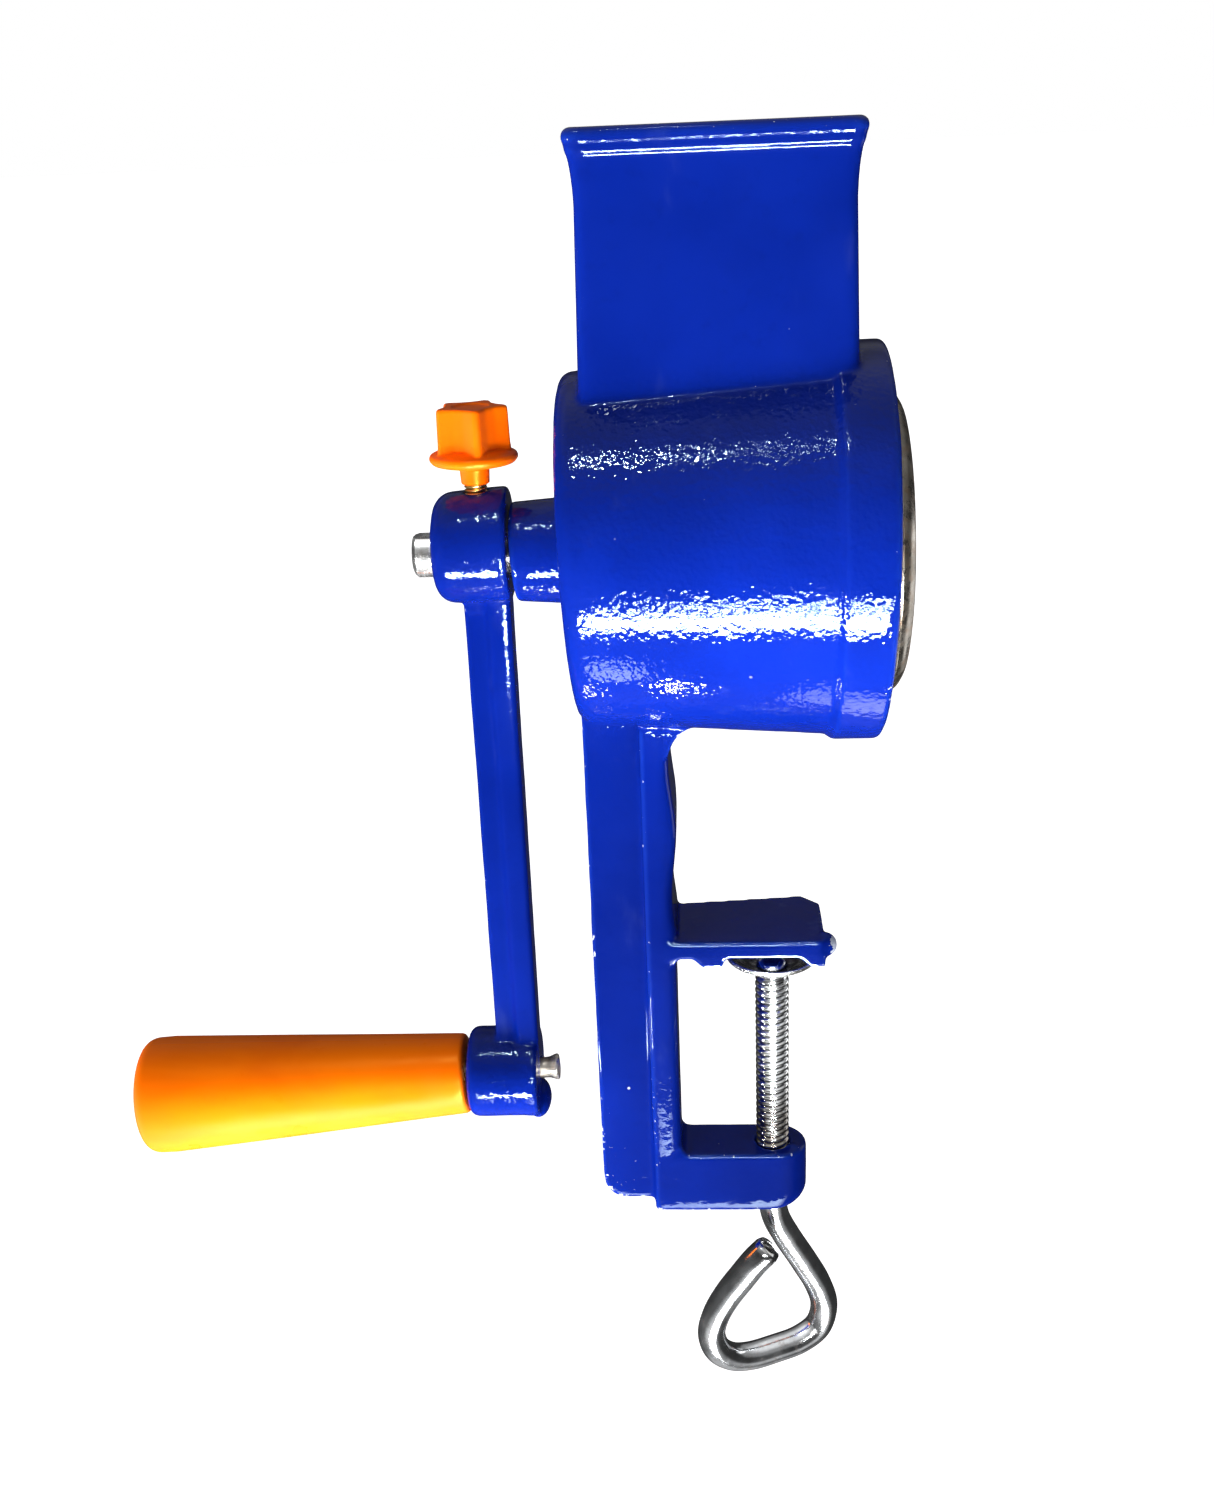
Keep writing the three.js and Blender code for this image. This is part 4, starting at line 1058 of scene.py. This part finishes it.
def clamp_screw():
    """Threaded spindle and its bent wire handle, in one piece of bar."""
    turn = turns(48)
    c, s = cos(LOOP_TURN), sin(LOOP_TURN)
    path = catmull([(u * c - n * s, u * s + n * c, z) for u, n, z in LOOP], 220 if FINE else 90)
    rows = []
    along = np.gradient(path, axis=0)
    along /= norm(along, axis=1)[:, None]
    side = np.array([1.0, 0.0, 0.0])
    for i, (p, d) in enumerate(zip(path, along)):
        side = side - d * side.dot(d)
        side /= norm(side)
        other = np.cross(side, d)
        left_over = (len(path) - 1 - i) / len(path)
        r = BAR_R - (0.35 * (1 - left_over / 0.012) if left_over < 0.012 else 0.0)
        rows.append([p + r * (cos(a) * side + sin(a) * other) for a in turn])
    centre = path[-1] + along[-1] * 0.15
    rows.append([centre + 1.6 * (cos(a) * side + sin(a) * other) for a in turn])
    rows.append([centre for _ in turn])
    rows.reverse()
    bottom, top, pitch = -69.8, -7.4, THREAD_PITCH
    steps = int((top - bottom) / pitch * (14 if FINE else 5))
    for z in np.linspace(bottom, top, steps):
        run = min(1.0, (z - bottom) / 2.5, (top - z) / pitch)
        core = THREAD_CORE + 0.1 * max(0.0, 1 - (z - bottom) / pitch)
        rises = [helix_radius(THREAD_CORE, THREAD_CREST, pitch, z, a) - THREAD_CORE for a in turn]
        radii = [core + rise * run for rise in rises]
        rows.append([(r * cos(a), r * sin(a), z) for r, a in zip(radii, turn)])
    for r, z in [(2.3, -7.2), (2.3, -5.3), (3.7, -5.2), (3.3, -4.3), (2.2, -3.7), (0, -3.55)]:
        rows.append([(r * cos(a), r * sin(a), z) for a in turn])
    verts = [p for row in rows for p in row]
    obj = new_object("clamp_screw_bar", verts, grid_faces(len(rows), len(turn)))
    co = points_of(obj)
    z = co[:, 2] / MM
    push(obj, value_noise(co, 11, 12) * 0.09 * step(z, -71, -76))
    # Darker band on the thread just above the lower arm, and a darker cut end of the wire.
    cut = near(co, path[-1], 4.2)
    store(obj, "dark_mask", np.maximum(step(z, -30, -50) * step(z, -58, -54), cut))
    dress(obj, THREAD_METAL, "spindle", PLATED, "clamp_screw", sharp=70)
    mark_thread(obj, (0, 0), THREAD_CORE, THREAD_CREST, bottom + 1, top - 1)


def clamp_pad():
    """Pressed swivel pad: a shallow dished cup with a rolled rim."""
    hole = 2.6
    outside = [(hole, -6.8), (4.2, -6.8), (5.2, -6.5), (7.6, -4.9), (9.8, -3.55), (10.75, -2.9), (11.0, -2.3)]
    inside = [(10.9, -1.85), (10.5, -1.8), (9.9, -2.0), (9.2, -2.55), (7.0, -3.95), (4.7, -5.4), (hole, -5.5)]
    obj = lathe_z("clamp_pad_pressed", rounded(outside + inside, 0.35, 3, closed=True), 144)
    roughen(obj, 9, 13, 0.05)
    # Painted shade and painted reflection: the dish's upturned inside goes dark, as it lies under the jaw and
    # mirrors the jaw's dark underside.
    upward = normals_of(obj)[:, 2]
    store(obj, "dark_mask", step(upward, 0.2, 0.6) * (np.hypot(*points_of(obj).T[:2]) < 10.4 * MM))
    dress(obj, CUP_METAL, "pad", PLATED, "clamp_pad", sharp=50, passes=3)


for build in [
    body_casting, crank_arm, thumb_stud, thumb_knob, handle_grip, grip_pin, grip_washer, drum_shaft,
    drum_sleeve, drum_ring, back_plate, drum_hub, hub_pin, drum_rivets, thrust_washer, clamp_screw,
    clamp_pad,
]:
    build()

# -- studio


LIGHT_FROM = (-0.50, -0.35, -0.79)  # where most of the soft light comes from
LIGHT, FILL = 5.9, 0.24  # its strength, and that of the light from everywhere


def studio_floor():
    """Pale floor for the camera only: the world below the horizon stands for its light."""
    size, height = 30.0, -0.175
    mesh = bpy.data.meshes.new("floor")
    corners = [(x * size, y * size, height) for x, y in [(-1, -1), (1, -1), (1, 1), (-1, 1)]]
    mesh.from_pydata(corners, [], [(0, 1, 2, 3)])
    obj = add_object("floor", mesh)
    made, look = material("floor_pale", (1, 1, 1))
    tone = look.noise(look.place(), 900, detail=2)
    look.set("Base Color", look.mix(tone, (0.93, 0.93, 0.93), (0.97, 0.97, 0.97)))
    look.set("Roughness", 0.9)
    look.set("Specular IOR Level", 0)
    look.set("Emission Color", (1, 1, 1, 1))
    look.set("Emission Strength", 1)
    mesh.materials.append(made)
    obj.visible_diffuse = obj.visible_glossy = obj.visible_shadow = False


def studio_world():
    """White for the camera, a broad light from below, and patches in reflections."""
    world = bpy.data.worlds.new("studio")
    SCENE.world = world
    world.use_nodes = True
    look = Look(world.node_tree)
    direction = look.add("TexCoord", out="Generated")
    aim = {0: direction, 1: LIGHT_FROM}
    lobe = look.add("VectorMath", aim, out="Value", operation="DOT_PRODUCT")
    lobe = look.maths("MAXIMUM", lobe, 0)
    diffuse = look.add("Math", {0: lobe, 1: LIGHT, 2: FILL}, operation="MULTIPLY_ADD")
    height = look.add("SeparateXYZ", {"Vector": direction}, out="Z")
    ahead = look.add("SeparateXYZ", {"Vector": direction}, out="Y")
    front = look.times(look.ramp(ahead, -0.25, -0.75), look.times(look.ramp(height, -0.32, -0.60), 0.65))
    sky = look.plus(look.ramp(height, 0.15, 0.45, 0, 0.25), look.ramp(height, 0.55, 0.9, 0, 0.7))
    under = look.ramp(height, -0.85, -0.98, 0, 0.4)
    glossy = look.plus(look.plus(look.plus(front, sky), under), 0.035)
    rays = look.add("LightPath", out="Is Glossy Ray")
    seen = look.add("LightPath", out="Is Camera Ray")
    strength = look.add("Mix", {"Factor": rays, "A": diffuse, "B": glossy})
    strength = look.add("Mix", {"Factor": seen, "A": strength, "B": 1.0})
    look.set("Color", (1, 1, 1, 1))
    look.set("Strength", strength)


def soft_light(name, place, target, size, radiance, spread=180, mirrored=True):
    """Rectangular light, in millimetres, that is only mirrored, or else only lights."""
    data = bpy.data.lights.new(name, "AREA")
    data.shape = "RECTANGLE"
    data.size, data.size_y = size[0] * MM, size[1] * MM
    data.energy = radiance * pi * data.size * data.size_y
    obj = add_object(name, data)
    obj.location = Vector(place) * MM
    obj.rotation_euler = (Vector(target) - Vector(place)).to_track_quat("-Z", "Y").to_euler()
    obj.visible_camera = False
    data.spread = radians(spread)
    obj.visible_diffuse = not mirrored
    obj.visible_glossy = mirrored


studio_floor()
studio_world()
for settings in [
    ("housing_band", (-9, -80, 62.5), (-5, -37, 90), (80, 13), 420),
    ("hub_band", (-65.5, -20.5, 83.5), (-65.5, -10, 92), (14.5, 3), 380),
    ("boss_band", (-47.5, -20.5, 83.5), (-47.5, -10, 92), (12.5, 3), 380),
    ("lower_hub_band", (-65, -30, -48), (-65, -10, -33), (18, 4), 330),
    ("lip_lines", (14, -300, -16), (14, -18, 176), (156, 18), 330),
    ("left_sparks", (-120, -200, 600), (-20, 0, 100), (50, 12), 1000),
    ("middle_sparks", (-30, -200, 600), (-20, 0, 100), (50, 6), 240),
    ("left_patch", (-42, -55, 20), (-36, -36, 76), (12, 20), 3, 60),
    ("right_patch", (20, -32, 14), (17, -33, 70), (20, 36), 1.9, 90),
    ("leg_corner", (-25, -38, 10), (-25, -14, 60), (7, 4), 220, 50),
    ("jaw_edge", (-3.5, -24, -19), (-3.5, -12, 3), (29, 3), 110, 30),
    ("ring_glow", (200, 70, 10), (26, -29, 80), (120, 160), 1.6),
    ("wire_glow", (20, -160, -260), (0, 0, -105), (200, 80), 2.2, 40),
    ("housing_lift", (-5, -105, 50), (-5, -37, 84), (90, 30), 8, 80, False),
    ("grip_lift", (-100, -55, -100), (-100, 0, -34), (110, 30), 10, 90, False),
]:
    soft_light(*settings)


def camera():
    """Camera from a fit to the object's edges, in millimetres and degrees."""
    place = Vector((-16.2, -333.0, 178.2)) * MM
    yaw, pitch, roll = (radians(a) for a in (3.48, 20.94, -2.48))
    focal_to_height = 1600 / 1489
    data = bpy.data.cameras.new("camera")
    data.sensor_fit = "VERTICAL"
    data.lens = data.sensor_height * focal_to_height
    data.clip_start, data.clip_end = 0.01, 100
    obj = add_object("camera", data)
    tip = Matrix.Rotation(pi / 2 - pitch, 4, "X") @ Matrix.Rotation(roll, 4, "Z")
    obj.matrix_world = Matrix.Translation(place) @ Matrix.Rotation(yaw, 4, "Z") @ tip
    SCENE.camera = obj


camera()
SCENE.view_settings.view_transform = "Standard"
